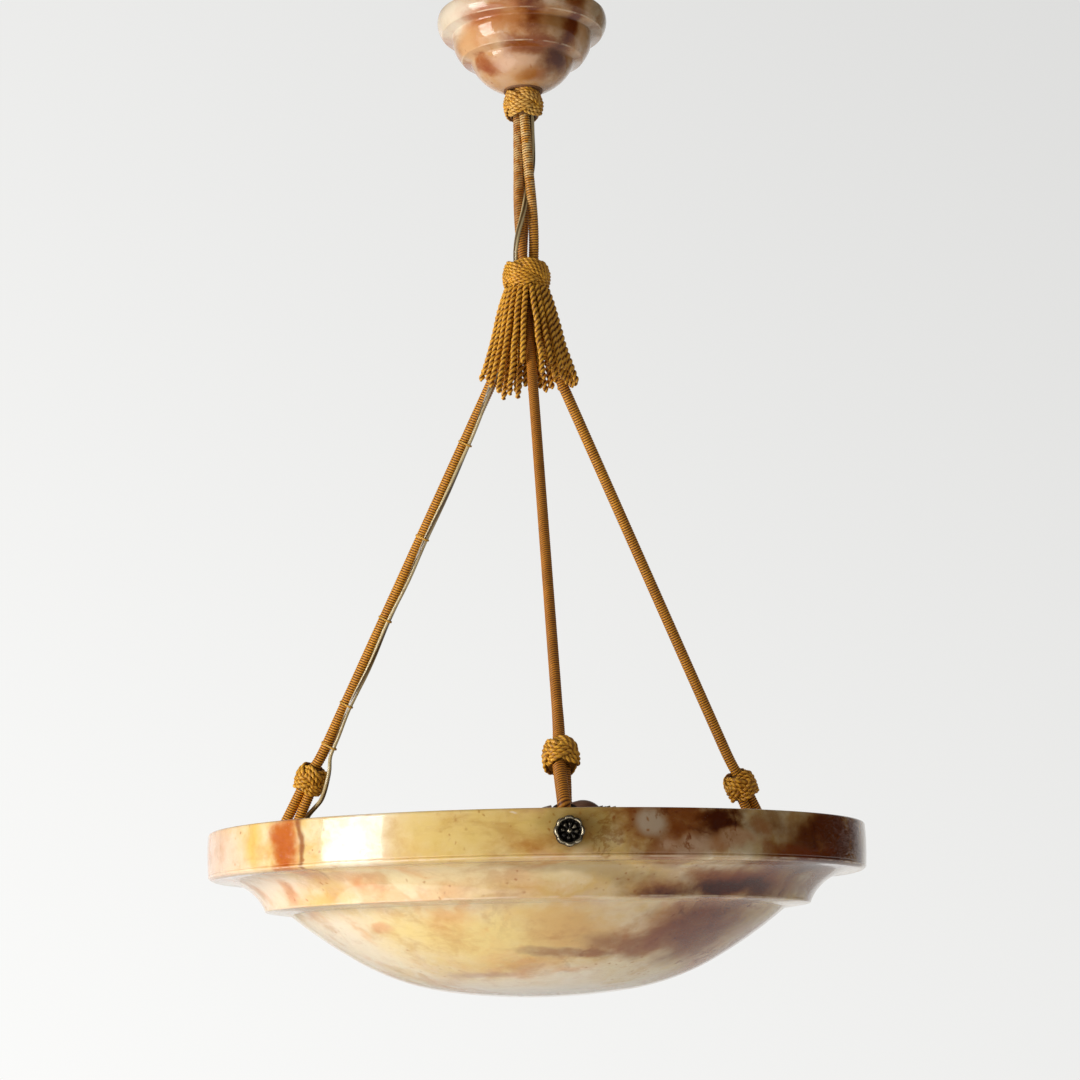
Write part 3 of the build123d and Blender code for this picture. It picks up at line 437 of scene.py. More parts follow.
        # painted highlight: thin pale lines along the given edge rings
        for radius, height in self.worn:
            off = abs(out - radius * MM) + abs(z - height * MM)
            stone = g.mix(off.step(0.0011, 0.0003) * fine.step(0.42, 0.6) * 0.6, stone, self.edge)
        return stone

    def material(self) -> bpy.types.Material:
        """Builds the stone's material.

        Returns:
            The material.
        """
        g = Graph(self.name)
        here = g.place()
        fine = g.noise(g.warped(here, 0.03, 0.012), 0.022, 6.0, 0.62)
        stone = self.patched(g, here, self.clouds(g, here, fine))
        # rubbed warms the darks and lays the painted highlight lines on the edges
        stone = self.rubbed(g, here, fine, self.veined(g, here, fine, stone))
        polish = g.noise(g.moved(g.warped(here, 0.05, 0.02), (1.0, 1.0, 9.0)), 0.012, 8.0, 0.7)
        scratches = abs(polish - 0.5).step(0.012, 0.0)
        pits = g.cells(here, 0.0035).step(0.18, 0.05) * g.noise(here, 0.02, 2.0).step(0.52, 0.66)
        return g.feed(
            base_color=stone,
            roughness=0.05 + g.noise(here, 0.03) * 0.08 + pits * 0.4 + scratches * 0.2,
            normal=g.bump(fine * 0.3 - pits - scratches * 0.3, 0.00014, 0.5),
            ior=1.5,
            subsurface_weight=0.08,
            subsurface_radius=(0.012, 0.006, 0.003),
            subsurface_scale=0.4,
            coat_weight=0.25,
            coat_roughness=0.03,
        )


@dataclass(frozen=True)
class Silk:
    """Golden-brown silk, wound or twisted; V counts the turns of its strands and U runs once round."""

    name: str
    strands: int = 1
    starts: int = 1
    body: Colour = (0.54, 0.205, 0.007)
    light: Colour = (0.80, 0.39, 0.03)
    # shine is the colour of the painted highlight on the strands' crests
    shine: Colour = (1.0, 0.54, 0.045)
    # dark is the colour of the painted shade in the grooves and on the plies' inner side
    dark: Colour = (0.085, 0.022, 0.0014)
    frayed: Colour = (0.84, 0.58, 0.24)
    # groove is how strongly the grooves between the strands are darkened as painted shade
    groove: float = 0.95
    # the strength of the painted shade on each ply's inner side, towards the knot's core
    tuck: float = 0.0
    fray: float = 0.0
    fray_foot: float = -0.17
    fray_rise: float = 0.07
    grime: float = 0.4

    def material(self) -> bpy.types.Material:
        """Builds the silk's material.

        Returns:
            The material.
        """
        g = Graph(self.name)
        here = g.place()
        round_it, along, _ = g.parts(g.place("UV"))
        crest = g.crest(along * self.strands - round_it * self.starts)
        fibres = g.noise(here, 0.0008, 2.0, 0.7)
        tone = g.noise(here, 0.012, 5.0, 0.62) * 0.6 + fibres * 0.4
        grimy = g.noise(here, 0.018, 5.0, 0.65).step(0.5, 0.72) * self.grime
        high = g.parts(here)[2].step(self.fray_foot, self.fray_foot + self.fray_rise)
        bare = g.noise(here, 0.006, 5.0, 0.66).step(0.42, 0.56) * high * self.fray
        colour = g.mix(tone.step(0.36, 0.64), self.body, self.light)
        colour = g.mix(grimy, colour, dimmed(self.body, 0.35))
        # painted highlight: the crests of the strands are mixed towards the shine colour
        colour = g.mix(crest.step(0.78, 0.98) * 0.55, colour, self.shine)
        colour = g.mix(bare * (crest.step(0.3, 0.8) * 0.75 + 0.25), colour, self.frayed)
        # painted shade: the grooves between the strands are darkened towards the dark colour
        if self.groove:
            colour = g.mix(crest.step(0.76, 0.2) * self.groove, colour, self.dark)
        # painted shade: each ply's inner side, facing the core, is darkened towards the dark colour
        if self.tuck:
            outwards = g.math("COSINE", round_it * (2 * math.pi))
            colour = g.mix(outwards.step(0.45, -0.4) * self.tuck, colour, self.dark)
        return g.feed(
            base_color=colour,
            roughness=0.38 + fibres * 0.22,
            normal=g.bump(fibres, 0.00014, 0.6),
            sheen_weight=0.02,
            sheen_roughness=0.4,
            specular_ior_level=0.45,
        )


class Wear(Enum):
    """How a metal has aged."""

    CLEAN = 0.0
    DULL = 0.45
    PATINATED = 0.9


@dataclass(frozen=True)
class Metal:
    """A metal with fine scratches, smears and its share of tarnish."""

    name: str
    colour: Colour
    tarnish: Colour
    wear: Wear = Wear.DULL
    roughness: float = 0.3

    def material(self) -> bpy.types.Material:
        """Builds the metal's material.

        Returns:
            The material.
        """
        g = Graph(self.name)
        here = g.place()
        smear = g.noise(here, 0.009, 5.0, 0.6)
        grit = g.noise(g.moved(here, (1.0, 1.0, 4.0)), 0.0012, 3.0, 0.7)
        edge = 0.75 - 0.45 * self.wear.value
        aged = (smear * 0.75 + grit * 0.25).step(edge - 0.16, edge + 0.1)
        colour = g.mix(aged, self.colour, self.tarnish)
        return g.feed(
            base_color=g.mix(grit.step(0.5, 0.8) * 0.25, colour, dimmed(self.tarnish, 0.6)),
            metallic=1.0 - aged * 0.35,
            roughness=self.roughness + aged * 0.28 + grit * 0.12,
            normal=g.bump(grit * 0.6 + smear * 0.4, 0.00008, 0.6),
        )


@dataclass(frozen=True)
class Moulded:
    """Moulded plastic, ceramic or paint: one colour with handling marks and a little dust."""

    name: str
    colour: Colour
    dust: Colour = (0.4, 0.36, 0.3)
    roughness: float = 0.35
    dusty: float = 0.25
    coat: float = 0.0

    def material(self) -> bpy.types.Material:
        """Builds the moulded material.

        Returns:
            The material.
        """
        g = Graph(self.name)
        here = g.place()
        mottle = g.noise(here, 0.012, 5.0, 0.6)
        grain = g.noise(here, 0.0011, 3.0, 0.6)
        shade = g.mix(mottle.step(0.25, 0.75), dimmed(self.colour, 0.82), self.colour)
        settled = mottle.step(0.5, 0.72) * self.dusty
        return g.feed(
            base_color=g.mix(settled, shade, self.dust),
            roughness=self.roughness + mottle * 0.15 + settled * 0.3,
            normal=g.bump(grain * 0.5 + mottle * 0.5, 0.00006, 0.5),
            coat_weight=self.coat,
            coat_roughness=0.12,
        )


@dataclass(frozen=True)
class OpalGlass:
    """White opal lamp glass, with a soft glossy skin."""

    name: str = "opal_glass"
    milk: Colour = (0.86, 0.84, 0.79)
    white: Colour = (0.93, 0.92, 0.89)

    def material(self) -> bpy.types.Material:
        """Builds the opal glass.

        Returns:
            The material.
        """
        g = Graph(self.name)
        haze = g.noise(g.place(), 0.02, 3.0)
        return g.feed(
            base_color=g.mix(haze.step(0.3, 0.7), self.milk, self.white),
            roughness=0.14 + haze * 0.1,
            normal=g.bump(haze, 0.00005, 0.3),
            subsurface_weight=0.3,
            subsurface_radius=(0.01, 0.01, 0.01),
            coat_weight=0.5,
            coat_roughness=0.05,
        )


@dataclass(frozen=True)
class CastBrass:
    """Old cast brass: rubbed bright on its high edges and black in its hollows; V is the height."""

    name: str = "aged_brass"
    bright: Colour = (0.52, 0.44, 0.30)
    black: Colour = (0.012, 0.008, 0.005)

    def material(self) -> bpy.types.Material:
        """Builds the brass.

        Returns:
            The material.
        """
        g = Graph(self.name)
        here = g.place()
        height = g.parts(g.place("UV"))[1]
        grit = g.noise(here, 0.0011, 4.0, 0.7)
        uneven = (grit - 0.5) * 0.7 + (g.noise(here, 0.004, 3.0) - 0.5) * 0.6
        rubbed = (height + uneven).step(0.76, 1.04)
        return g.feed(
            base_color=g.mix(rubbed, self.black, self.bright),
            metallic=0.35 + rubbed * 0.6,
            roughness=0.42 - rubbed * 0.2,
            normal=g.bump(grit, 0.0002, 0.8),
        )


@dataclass(frozen=True)
class ClearSheath:
    """The lead's clear golden sheath, with its two cores showing and painted shade in the groove between them; V
    counts the turns of the cores.
    """

    name: str = "clear_sheath"
    gap: Colour = (0.11, 0.062, 0.018)
    core: Colour = (0.60, 0.47, 0.24)
    dirt: Colour = (0.16, 0.09, 0.03)

    def material(self) -> bpy.types.Material:
        """Builds the sheath.

        Returns:
            The material.
        """
        g = Graph(self.name)
        here = g.place()
        round_it, along, _ = g.parts(g.place("UV"))
        # painted shade: the groove between the two cores is darkened, the cores keep their golden colour
        cores = g.crest((round_it - along) * 2).step(0.35, 0.85)
        grime = g.noise(here, 0.012, 5.0, 0.6)
        return g.feed(
            base_color=g.mix(grime.step(0.5, 0.8) * 0.5, g.mix(cores, self.gap, self.core), self.dirt),
            roughness=0.16 + grime * 0.2,
            normal=g.bump(grime, 0.0001, 0.4),
            coat_weight=0.8,
            coat_roughness=0.06,
            ior=1.5,
        )


# ------------------------------------------------------------------ placing and sweeping
def around(radius: float, azimuth: float, z: float) -> Vector:
    """The place at a radius, an azimuth in degrees from the front towards +X, and a height, in mm."""
    a = math.radians(azimuth)
    return Vector((radius * math.sin(a), -radius * math.cos(a), z)) * MM


def blend(low: float, high: float, t: float) -> float:
    """The number a share t of the way from low to high."""
    return low + (high - low) * t


def through(value: float, start: float, span: float) -> float:
    """How far a value is through a span from its start, between 0 and 1."""
    return min(1.0, max(0.0, (value - start) / span))


def lobed(share: float, laps: float) -> float:
    """1 over the two strands of a twisted cord and 0 between them."""
    return abs(math.cos((share - laps) * 2 * math.pi))


def placing(at: Vector, x: Vector, y: Vector, z: Vector) -> Matrix:
    """A placing at a place, with its axes along three directions."""
    return Matrix.Translation(at) @ Matrix((x, y, z)).transposed().to_4x4()


@dataclass
class Station:
    """A place along a sweep: where it is, which way it runs, and a direction across it."""

    at: Vector
    along: Vector
    out: Vector
    length: float = 0.0


def measured(stations: list[Station]) -> list[Station]:
    """Gives stations their lengths from the first one.

    Args:
        stations: The stations, in order.

    Returns:
        The same stations.
    """
    for before, after in zip(stations, stations[1:]):
        after.length = before.length + (after.at - before.at).length
    return stations


@dataclass
class Route:
    """A smooth line with a few control points, which a cord follows."""

    points: list[Vector]

    def line(self) -> list[Vector]:
        """The points of the smooth line, as Blender evaluates its spline.

        Returns:
            The points, in metres.
        """
        curve = bpy.data.curves.new("route", "CURVE")
        curve.dimensions = "3D"
        spline = curve.splines.new("NURBS")
        spline.points.add(len(self.points) - 1)
        for point, place in zip(spline.points, self.points):
            point.co = (*place, 1.0)
        spline.order_u = 3
        spline.use_endpoint_u = True
        spline.resolution_u = 16
        holder = linked("route", curve)
        mesh = bpy.data.meshes.new_from_object(holder)
        line = [v.co.copy() for v in mesh.vertices]
        bpy.data.objects.remove(holder)
        bpy.data.curves.remove(curve)
        bpy.data.meshes.remove(mesh)
        return line

    def stations(self, spacing: float) -> list[Station]:
        """Even stations along the line, with a direction across that turns as little as it can.

        Args:
            spacing: The length from one station to the next, in mm.

        Returns:
            The stations, with their lengths.
        """
        line = self.line()
        lengths = [0.0]
        for before, after in zip(line, line[1:]):
            lengths.append(lengths[-1] + (after - before).length)
        count = max(2, round(lengths[-1] / MM / spacing))
        places = []
        k = 0
        for i in range(count + 1):
            wanted = lengths[-1] * i / count
            while k < len(line) - 2 and lengths[k + 1] < wanted:
                k += 1
            span = max(lengths[k + 1] - lengths[k], TINY)
            places.append(line[k].lerp(line[k + 1], (wanted - lengths[k]) / span))
        ways = [(b - a).normalized() for a, b in zip(places, places[1:])]
        ways = [ways[0], *[(a + b).normalized() for a, b in zip(ways, ways[1:])], ways[-1]]
        out = ways[0].orthogonal().normalized()
        stations = []
        for place, way in zip(places, ways):
            out = (out - way * out.dot(way)).normalized()
            stations.append(Station(place, way, out.copy()))
        return measured(stations)


@dataclass(frozen=True)
class Twist:
    """How a cord's strands turn: the length of a turn in mm, or 0 for none, and where they start."""

    turn: float = 0.0
    start: float = 0.0

    def laps(self, length: float) -> float:
        """The turns made at a length in mm."""
        return length / self.turn + self.start if self.turn else self.start


def blank() -> bmesh.types.BMesh:
    """Starts a mesh that has a UV map.

    Returns:
        The mesh.
    """
    bm = bmesh.new()
    bm.loops.layers.uv.new("UVMap")
    return bm


def swept(
    stations: Sequence[Station],
    reach: Callable[[float, float, float], float],
    sides: int,
    twist: Twist = Twist(),
    closed: bool = False,
) -> bmesh.types.BMesh:
    """Sweeps a section along stations.

    Args:
        stations: Where the section goes.
        reach: The section's radius in mm, at a share of the way round, at the strands' turns so far,
            and at a length in mm.
        sides: How many sides the section has.
        twist: How its strands turn.
        closed: Whether the last station meets the first.

    Returns:
        The mesh, with U round the section and V counting the strands' turns.
    """
    bm = blank()
    uv = bm.loops.layers.uv.active
    rows = len(stations) - 1
    bmesh.ops.create_grid(bm, x_segments=sides, y_segments=rows, size=1.0, calc_uvs=True)
    across = [station.along.cross(station.out) for station in stations]
    first, last = twist.laps(0.0), twist.laps(stations[-1].length / MM)
    for face in bm.faces:
        for loop in face.loops:
            loop[uv].uv.y = blend(first, last, loop[uv].uv.y)
    for vert in bm.verts:
        i = round((vert.co.x + 1) / 2 * sides) % sides
        j = round((vert.co.y + 1) / 2 * rows)
        angle = 2 * math.pi * i / sides
        station = stations[j]
        length = station.length / MM
        size = reach(i / sides, twist.laps(length), length) * MM
        vert.co = station.at + station.out * (size * math.cos(angle)) + across[j] * (size * math.sin(angle))
    bmesh.ops.remove_doubles(bm, verts=bm.verts, dist=SWEPT_MERGE)
    if not closed:
        bmesh.ops.holes_fill(bm, edges=[e for e in bm.edges if e.is_boundary], sides=sides + 2)
    bmesh.ops.recalc_face_normals(bm, faces=bm.faces)
    return bm


def turned(profile: Sequence[Pair], steps: int) -> bmesh.types.BMesh:
    """Spins a profile of radius and height about Z; the profile may start and end on the axis.

    Args:
        profile: The outline, in mm.
        steps: How many steps the turn has.

    Returns:
        The closed mesh.
    """
    bm = bmesh.new()
    verts = [bm.verts.new((r * MM, 0.0, z * MM)) for r, z in profile]
    edges = [bm.edges.new(pair) for pair in zip(verts, verts[1:])]
    if max(profile[0][0], profile[-1][0]) > TINY:
        edges.append(bm.edges.new((verts[-1], verts[0])))
    whole = {"cent": (0, 0, 0), "axis": (0, 0, 1), "angle": 2 * math.pi, "use_merge": True}
    bmesh.ops.spin(bm, geom=verts + edges, steps=steps, **whole)
    bmesh.ops.remove_doubles(bm, verts=bm.verts, dist=TURNED_MERGE)
    bmesh.ops.recalc_face_normals(bm, faces=bm.faces)
    return bm


def arc(start: Pair, middle: Pair, end: Pair, count: int) -> list[Pair]:
    """Points on the circle through three points.

    Args:
        start: Where it starts.
        middle: A place on its way.
        end: Where it ends.
        count: How many steps it has.

    Returns:
        The points, with both ends.
    """
    (ax, ay), (bx, by), (cx, cy) = start, middle, end
    aa, bb, cc = ax**2 + ay**2, bx**2 + by**2, cx**2 + cy**2
    d = 2 * (ax * (by - cy) + bx * (cy - ay) + cx * (ay - by))
    ux = (aa * (by - cy) + bb * (cy - ay) + cc * (ay - by)) / d
    uy = (aa * (cx - bx) + bb * (ax - cx) + cc * (bx - ax)) / d
    radius = math.hypot(ax - ux, ay - uy)
    first = math.atan2(ay - uy, ax - ux)
    turn = math.remainder(math.atan2(cy - uy, cx - ux) - first, 2 * math.pi)
    angles = [first + turn * k / count for k in range(count + 1)]
    return [(ux + radius * math.cos(a), uy + radius * math.sin(a)) for a in angles]


def joined(bm: bmesh.types.BMesh, other: bmesh.types.BMesh) -> None:
    """Adds one mesh to another, and frees it.

    Args:
        bm: The mesh that grows.
        other: The mesh that goes into it.
    """
    mesh = bpy.data.meshes.new("part")
    other.to_mesh(mesh)
    other.free()
    bm.from_mesh(mesh)
    bpy.data.meshes.remove(mesh)


def linked(name: str, data: bpy.types.ID) -> bpy.types.Object:
    """Puts some data in the scene.

    Args:
        name: The object's name.
        data: Its mesh, curve, light or camera.

    Returns:
        The object.
    """
    obj = bpy.data.objects.new(name, data)
    bpy.context.scene.collection.objects.link(obj)
    return obj


@dataclass
class Workshop:
    """Turns meshes into finished pieces and keeps the materials by name."""

    materials: dict[str, bpy.types.Material] = field(default_factory=dict)

    def finish(self, look: Finish) -> bpy.types.Material:
        """A finish's material, made once.

        Args:
            look: The finish.

        Returns:
            Its material.
        """
        if look.name not in self.materials:
            self.materials[look.name] = look.material()
        return self.materials[look.name]

    def piece(
        self,
        name: str,
        bm: bmesh.types.BMesh,
        body: str,
        look: Finish,
        stands_for: Sequence[str] = (),
        crease: float = 60.0,
    ) -> bpy.types.Object:
        """Makes a piece from a mesh.

        Args:
            name: The piece's name.
            bm: Its mesh, which is freed.
            body: The body that it rides on.
            look: Its finish.
            stands_for: The CAD nodes that it replaces.
            crease: The angle, in degrees, from which an edge is shaded sharp.

        Returns:
            The piece's object.
        """
        mesh = bpy.data.meshes.new(name)
        bm.to_mesh(mesh)
        bm.free()
        mesh.shade_smooth()
        mesh.set_sharp_from_angle(angle=math.radians(crease))
        mesh.materials.append(self.finish(look))
        obj = linked(name, mesh)
        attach(obj, body)
        if stands_for:
            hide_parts(*stands_for)
        LOG.info("%s: %d faces", name, len(mesh.polygons))
        return obj

    def dress(self, look: Finish, nodes: Sequence[str]) -> None:
        """Gives CAD nodes a finish.

        Args:
            look: The finish.
            nodes: The nodes' names.
        """
        for node in nodes:
            obj = frame["nodes"][node]
            obj.data.materials.clear()
            obj.data.materials.append(self.finish(look))
            LOG.info("%s: %s", node, look.name)


Finish = Alabaster | Silk | Metal | CastBrass | Moulded | OpalGlass | ClearSheath


# ------------------------------------------------------------------ stone
@dataclass
class StoneBowl:
    """The turned bowl: a band, a cove, a small ledge and a shallow dome, hollow inside.

    The dome is a row of arcs, each with its radius, the slope that it ends at and its steps. The
    patches go from the left to the right.
    """

    rim: float = -553.0
    outer: float = 210.0
    wall: float = 202.5
    foot: float = -658.61
    floor: float = -648.61
    steps: int = 288
    dome: tuple[tuple[float, float, int], ...] = ((400.0, 8.3, 6), (160.0, 29.0, 10), (300.0, 39.6, 8))
    ledge: tuple[Pair, ...] = (
        (158.6, -604.72), (166.0, -603.7), (172.9, -602.72), (173.8, -602.45), (174.25, -601.9),
        (174.35, -601.4),
    )
    band_patches: tuple[Patch, ...] = (
        Patch(-72, 205, -578, 66, 60, 34, (0.87, 0.64, 0.48), 0.92, 0.5),
        Patch(-54, 209, -566, 10, 30, 18, (0.84, 0.52, 0.13), 0.9, 1.0),
        Patch(-45.5, 209, -567, 14, 30, 22, (0.54, 0.15, 0.018), 1.0, 1.2),
        Patch(-41.8, 209, -568, 2.6, 30, 20, (0.24, 0.075, 0.03), 0.8, 0.8),
        # partly painted highlight: this near-white cream patch lies where the softbox highlight falls, and is partly
        # the stone's pale tone
        Patch(-29, 209, -567, 26, 26, 24, (0.95, 0.86, 0.68), 0.95, 0.6),
        Patch(-11, 209, -566, 58, 26, 18, (0.76, 0.53, 0.15), 0.9, 0.4),
        Patch(-2, 209, -573, 30, 20, 5, (0.62, 0.34, 0.09), 0.7, 1.6),
        Patch(7, 209, -564, 26, 26, 17, (0.42, 0.28, 0.075), 0.85, 0.6),
        Patch(22, 209, -562, 34, 26, 22, (0.27, 0.095, 0.022), 0.97, 1.1),
        Patch(19, 209, -559.5, 9, 20, 7, (0.58, 0.44, 0.30), 0.85, 0.8),
        Patch(27, 209, -572, 26, 20, 8, (0.66, 0.42, 0.26), 0.85, 1.2),
        Patch(58, 206, -570, 88, 50, 28, (0.15, 0.052, 0.010), 1.0, 0.5),
        Patch(31.5, 209, -560, 15, 20, 10, (0.10, 0.028, 0.006), 1.0, 1.4),
        Patch(39.5, 209, -566, 8, 20, 7, (0.36, 0.16, 0.06), 0.75, 1.2),
        Patch(33, 209, -574, 20, 20, 4.5, (0.58, 0.34, 0.18), 0.85, 1.2),
        Patch(47, 209, -576, 34, 20, 4.5, (0.24, 0.065, 0.012), 0.8, 1.2),
        Patch(66, 209, -564, 20, 20, 12, (0.22, 0.09, 0.03), 0.7, 1.6),
        Patch(-24, 210, -553.6, 5, 3, 0.9, (0.95, 0.92, 0.84), 1.0, 1.6),
        Patch(-57, 210, -553.6, 3, 3, 1.2, (0.95, 0.92, 0.84), 1.0, 1.6),
        Patch(-4.5, 210, -553.6, 3, 3, 1.0, (0.95, 0.92, 0.84), 1.0, 1.6),
    )
    cove_patches: tuple[Patch, ...] = (
        Patch(-16, 182, -592, 92, 24, 11, (0.86, 0.68, 0.36), 0.9, 0.4),
        Patch(-62, 184, -590, 44, 24, 12, (0.92, 0.75, 0.56), 0.85, 0.6),
        Patch(-57.5, 179, -594, 9, 14, 9, (0.74, 0.36, 0.15), 0.85, 1.2),
        Patch(-36, 183, -591, 13, 12, 8, (0.80, 0.44, 0.18), 0.85, 1.2),
        Patch(8, 188, -587, 70, 14, 6, (0.44, 0.30, 0.12), 0.7, 0.7),
        Patch(42, 180, -594, 70, 28, 11, (0.31, 0.10, 0.010), 0.97, 0.7),
        Patch(40, 176, -598, 50, 12, 6, (0.11, 0.028, 0.003), 0.97, 0.9),
        Patch(72, 182, -592, 40, 24, 10, (0.36, 0.19, 0.09), 0.9, 0.8),
    )
    dome_patches: tuple[Patch, ...] = (
        Patch(-62, 140, -622, 52, 46, 26, (0.94, 0.79, 0.58), 0.9, 0.6),
        Patch(-16, 128, -624, 70, 44, 26, (0.92, 0.68, 0.24), 0.95, 0.4),
        Patch(10, 132, -622, 36, 32, 22, (0.76, 0.44, 0.14), 0.85, 0.9),
        Patch(46, 136, -616, 50, 40, 27, (0.24, 0.085, 0.026), 0.96, 0.45),
        Patch(26, 124, -628, 28, 18, 13, (0.36, 0.165, 0.065), 0.85, 0.7),
        Patch(80, 120, -632, 46, 48, 27, (0.66, 0.39, 0.24), 0.92, 0.6),
        Patch(9.5, 115, -636, 34, 4.5, 4.5, (0.34, 0.16, 0.075), 0.7, 1.0),
        Patch(-23, 93, -645.5, 22, 4, 4, (0.56, 0.33, 0.20), 0.7, 1.0),
        Patch(-41, 143, -617, 8, 5, 5, (0.82, 0.42, 0.18), 0.8, 1.0),
        # painted reflection: this pale patch under the dome's foot stands in for the bright floor reflected there
        Patch(-6, 50, -656, 88, 54, 12, (0.97, 0.84, 0.66), 0.95, 0.5),
    )

    def outside(self) -> list[Pair]:
        """The outside's outline.

        Returns:
            The outline, from the middle of the foot to the rim.
        """
        outer = self.outer
        dome = [(0.0, self.foot)]
        slope = 0.0
        for radius, last, count in self.dome:
            r0, z0 = dome[-1]
            for k in range(1, count + 1):
                a, b = math.radians(slope), math.radians(blend(slope, last, k / count))
                dome.append((r0 + radius * (math.sin(b) - math.sin(a)), z0 + radius * (math.cos(a) - math.cos(b))))
            slope = last
        cove = arc((174.5, -600.9), (184.5, -588.5), (203.6, -582.75), 16)
        foot = arc((204.4, -582.65), (208.8, -581.75), (209.95, -580.55), 6)
        groove = [(outer, -580.05), (209.9, -579.75), (209.5, -579.4), (209.9, -579.05), (outer, -578.75)]
        band = arc((outer, -578.3), (210.4, -567.6), (outer, -555.2), 12)
        edge = arc((outer, -554.7), (209.52, -553.48), (208.4, self.rim), 6)
        return [*dome, *self.ledge, *cove, *foot, *groove, *band, *edge]

    def inside(self) -> list[Pair]:
        """The hollow's outline.

        Returns:
            The outline, from the rim to the middle of the floor.
        """
        wall = self.wall
        lip = [(203.6, self.rim), (203.1, -553.1), (202.65, -553.5), (wall, -554.1)]
        shoulder = arc((wall, -570.5), (201.15, -573.4), (198.0, -574.5), 6)
        flank = [(blend(198.0, 160.0, t), blend(-574.5, -594.0, t)) for t in (0.3, 0.65)]
        floor = arc((160.0, -594.0), (80.0, -636.1), (0.0, self.floor), 18)
        return lip + shoulder + flank + floor

    def build(self, shop: Workshop) -> None:
        """Turns the bowl and finishes it.

        Args:
            shop: The workshop.
        """
        bm = turned([*self.outside(), *self.inside()], self.steps)
        stone = Alabaster(
            "bowl_alabaster",
            pale=(0.90, 0.74, 0.48),
            honey=(0.76, 0.50, 0.17),
            rust=(0.86, 0.44, 0.16),
            shade=(0.20, 0.085, 0.036),
            patches=(*self.band_patches, *self.cove_patches, *self.dome_patches),
            # These rings get painted highlight lines along the ledge and the band's foot.
            worn=((174.2, -602.0), (209.7, -581.0)),
        )
        shop.piece("alabaster_bowl", bm, "pendant", stone, ["bowl"])


@dataclass
class CeilingCup:
    """The turned stone cup under the ceiling: a swelling lip, a second tier and a bell."""

    top: float = -3.2
    foot: float = -55.6
    hole: float = 9.2
    mouth: float = 47.5
    steps: int = 192
    patches: tuple[Patch, ...] = (
        Patch(-70, 54, -10, 46, 26, 13, (0.86, 0.73, 0.56), 0.95, 0.4),
        Patch(-10, 56, -9, 44, 12, 8, (0.78, 0.62, 0.46), 0.8, 0.6),
        Patch(-50, 44, -27, 22, 14, 9, (0.74, 0.40, 0.17), 0.9, 0.8),
        Patch(-12, 44, -25, 24, 12, 9, (0.56, 0.24, 0.08), 0.9, 0.8),
        Patch(-22, 49, -18, 20, 9, 5, (0.50, 0.19, 0.07), 0.95, 1.2),
        Patch(7, 46, -20, 11, 14, 16, (0.20, 0.058, 0.009), 1.0, 1.2),
        Patch(27, 46, -25, 13, 12, 11, (0.40, 0.21, 0.075), 0.9, 0.7),
        Patch(44, 46, -25, 9, 14, 15, (0.20, 0.058, 0.008), 1.0, 1.0),
        Patch(38, 55, -7, 13, 12, 8, (0.24, 0.075, 0.018), 0.95, 1.3),
        Patch(76, 54, -11, 26, 18, 11, (0.60, 0.46, 0.29), 0.9, 0.6),
        Patch(-46, 31, -43, 9, 10, 9, (0.34, 0.09, 0.015), 1.0, 1.4),
        Patch(-10, 30, -44, 18, 12, 10, (0.72, 0.42, 0.25), 0.85, 0.6),
        Patch(44, 31, -42, 17, 14, 12, (0.15, 0.045, 0.006), 1.0, 1.0),
        Patch(14, 20, -53, 11, 8, 6, (0.44, 0.17, 0.04), 0.85, 0.9),
        Patch(2, 37, -37, 18, 9, 5, (0.30, 0.10, 0.03), 0.95, 1.4),
    )

    def outline(self) -> list[Pair]:
        """The closed outline, from the mouth over the outside to the hole and back inside.

        Returns:
            The outline.
        """
        top, foot, hole, mouth = self.top, self.foot, self.hole, self.mouth
        outside = [(mouth + 0.4, top), (55.7, top)]
        outside += arc((56.2, top), (57.2, -8.2), (54.35, -16.2), 14)
        outside += [(54.2, -16.5), (53.9, -16.65), (47.6, -17.8)]
        outside += arc((47.4, -17.95), (45.6, -26.9), (41.05, -34.2), 12)
        outside += [(40.8, -34.5), (40.4, -34.65), (35.2, -36.35)]
        outside += arc((34.9, -36.6), (27.3, -47.6), (13.4, foot), 18)
        inside = [(12.9, foot - 0.02), (hole + 0.5, foot), (hole, foot + 0.5), (hole, -49.4), (16.4, -48.0)]
        inside += [(23.1, -43.7), (27.0, -37.2), (32.0, -31.7), (38.4, -27.2), (41.0, -18.2)]
        return [*outside, *inside, (mouth, -11.2), (mouth, top - 0.4)]

    def build(self, shop: Workshop) -> None:
        """Turns the cup and finishes it.

        Args:
            shop: The workshop.
        """
        stone = Alabaster(
            "cup_alabaster",
            pale=(0.78, 0.56, 0.37),
            honey=(0.62, 0.33, 0.13),
            rust=(0.80, 0.42, 0.22),
            shade=(0.44, 0.20, 0.09),
            patches=self.patches,
            # These rings get painted highlight lines along the lip's and the tier's lower edges.
            worn=((54.3, -16.5), (41.0, -34.4)),
            cloud=0.05,
        )
        bm = turned(self.outline(), self.steps)
        shop.piece("alabaster_cup", bm, "canopy_stack", stone, ["canopy"])


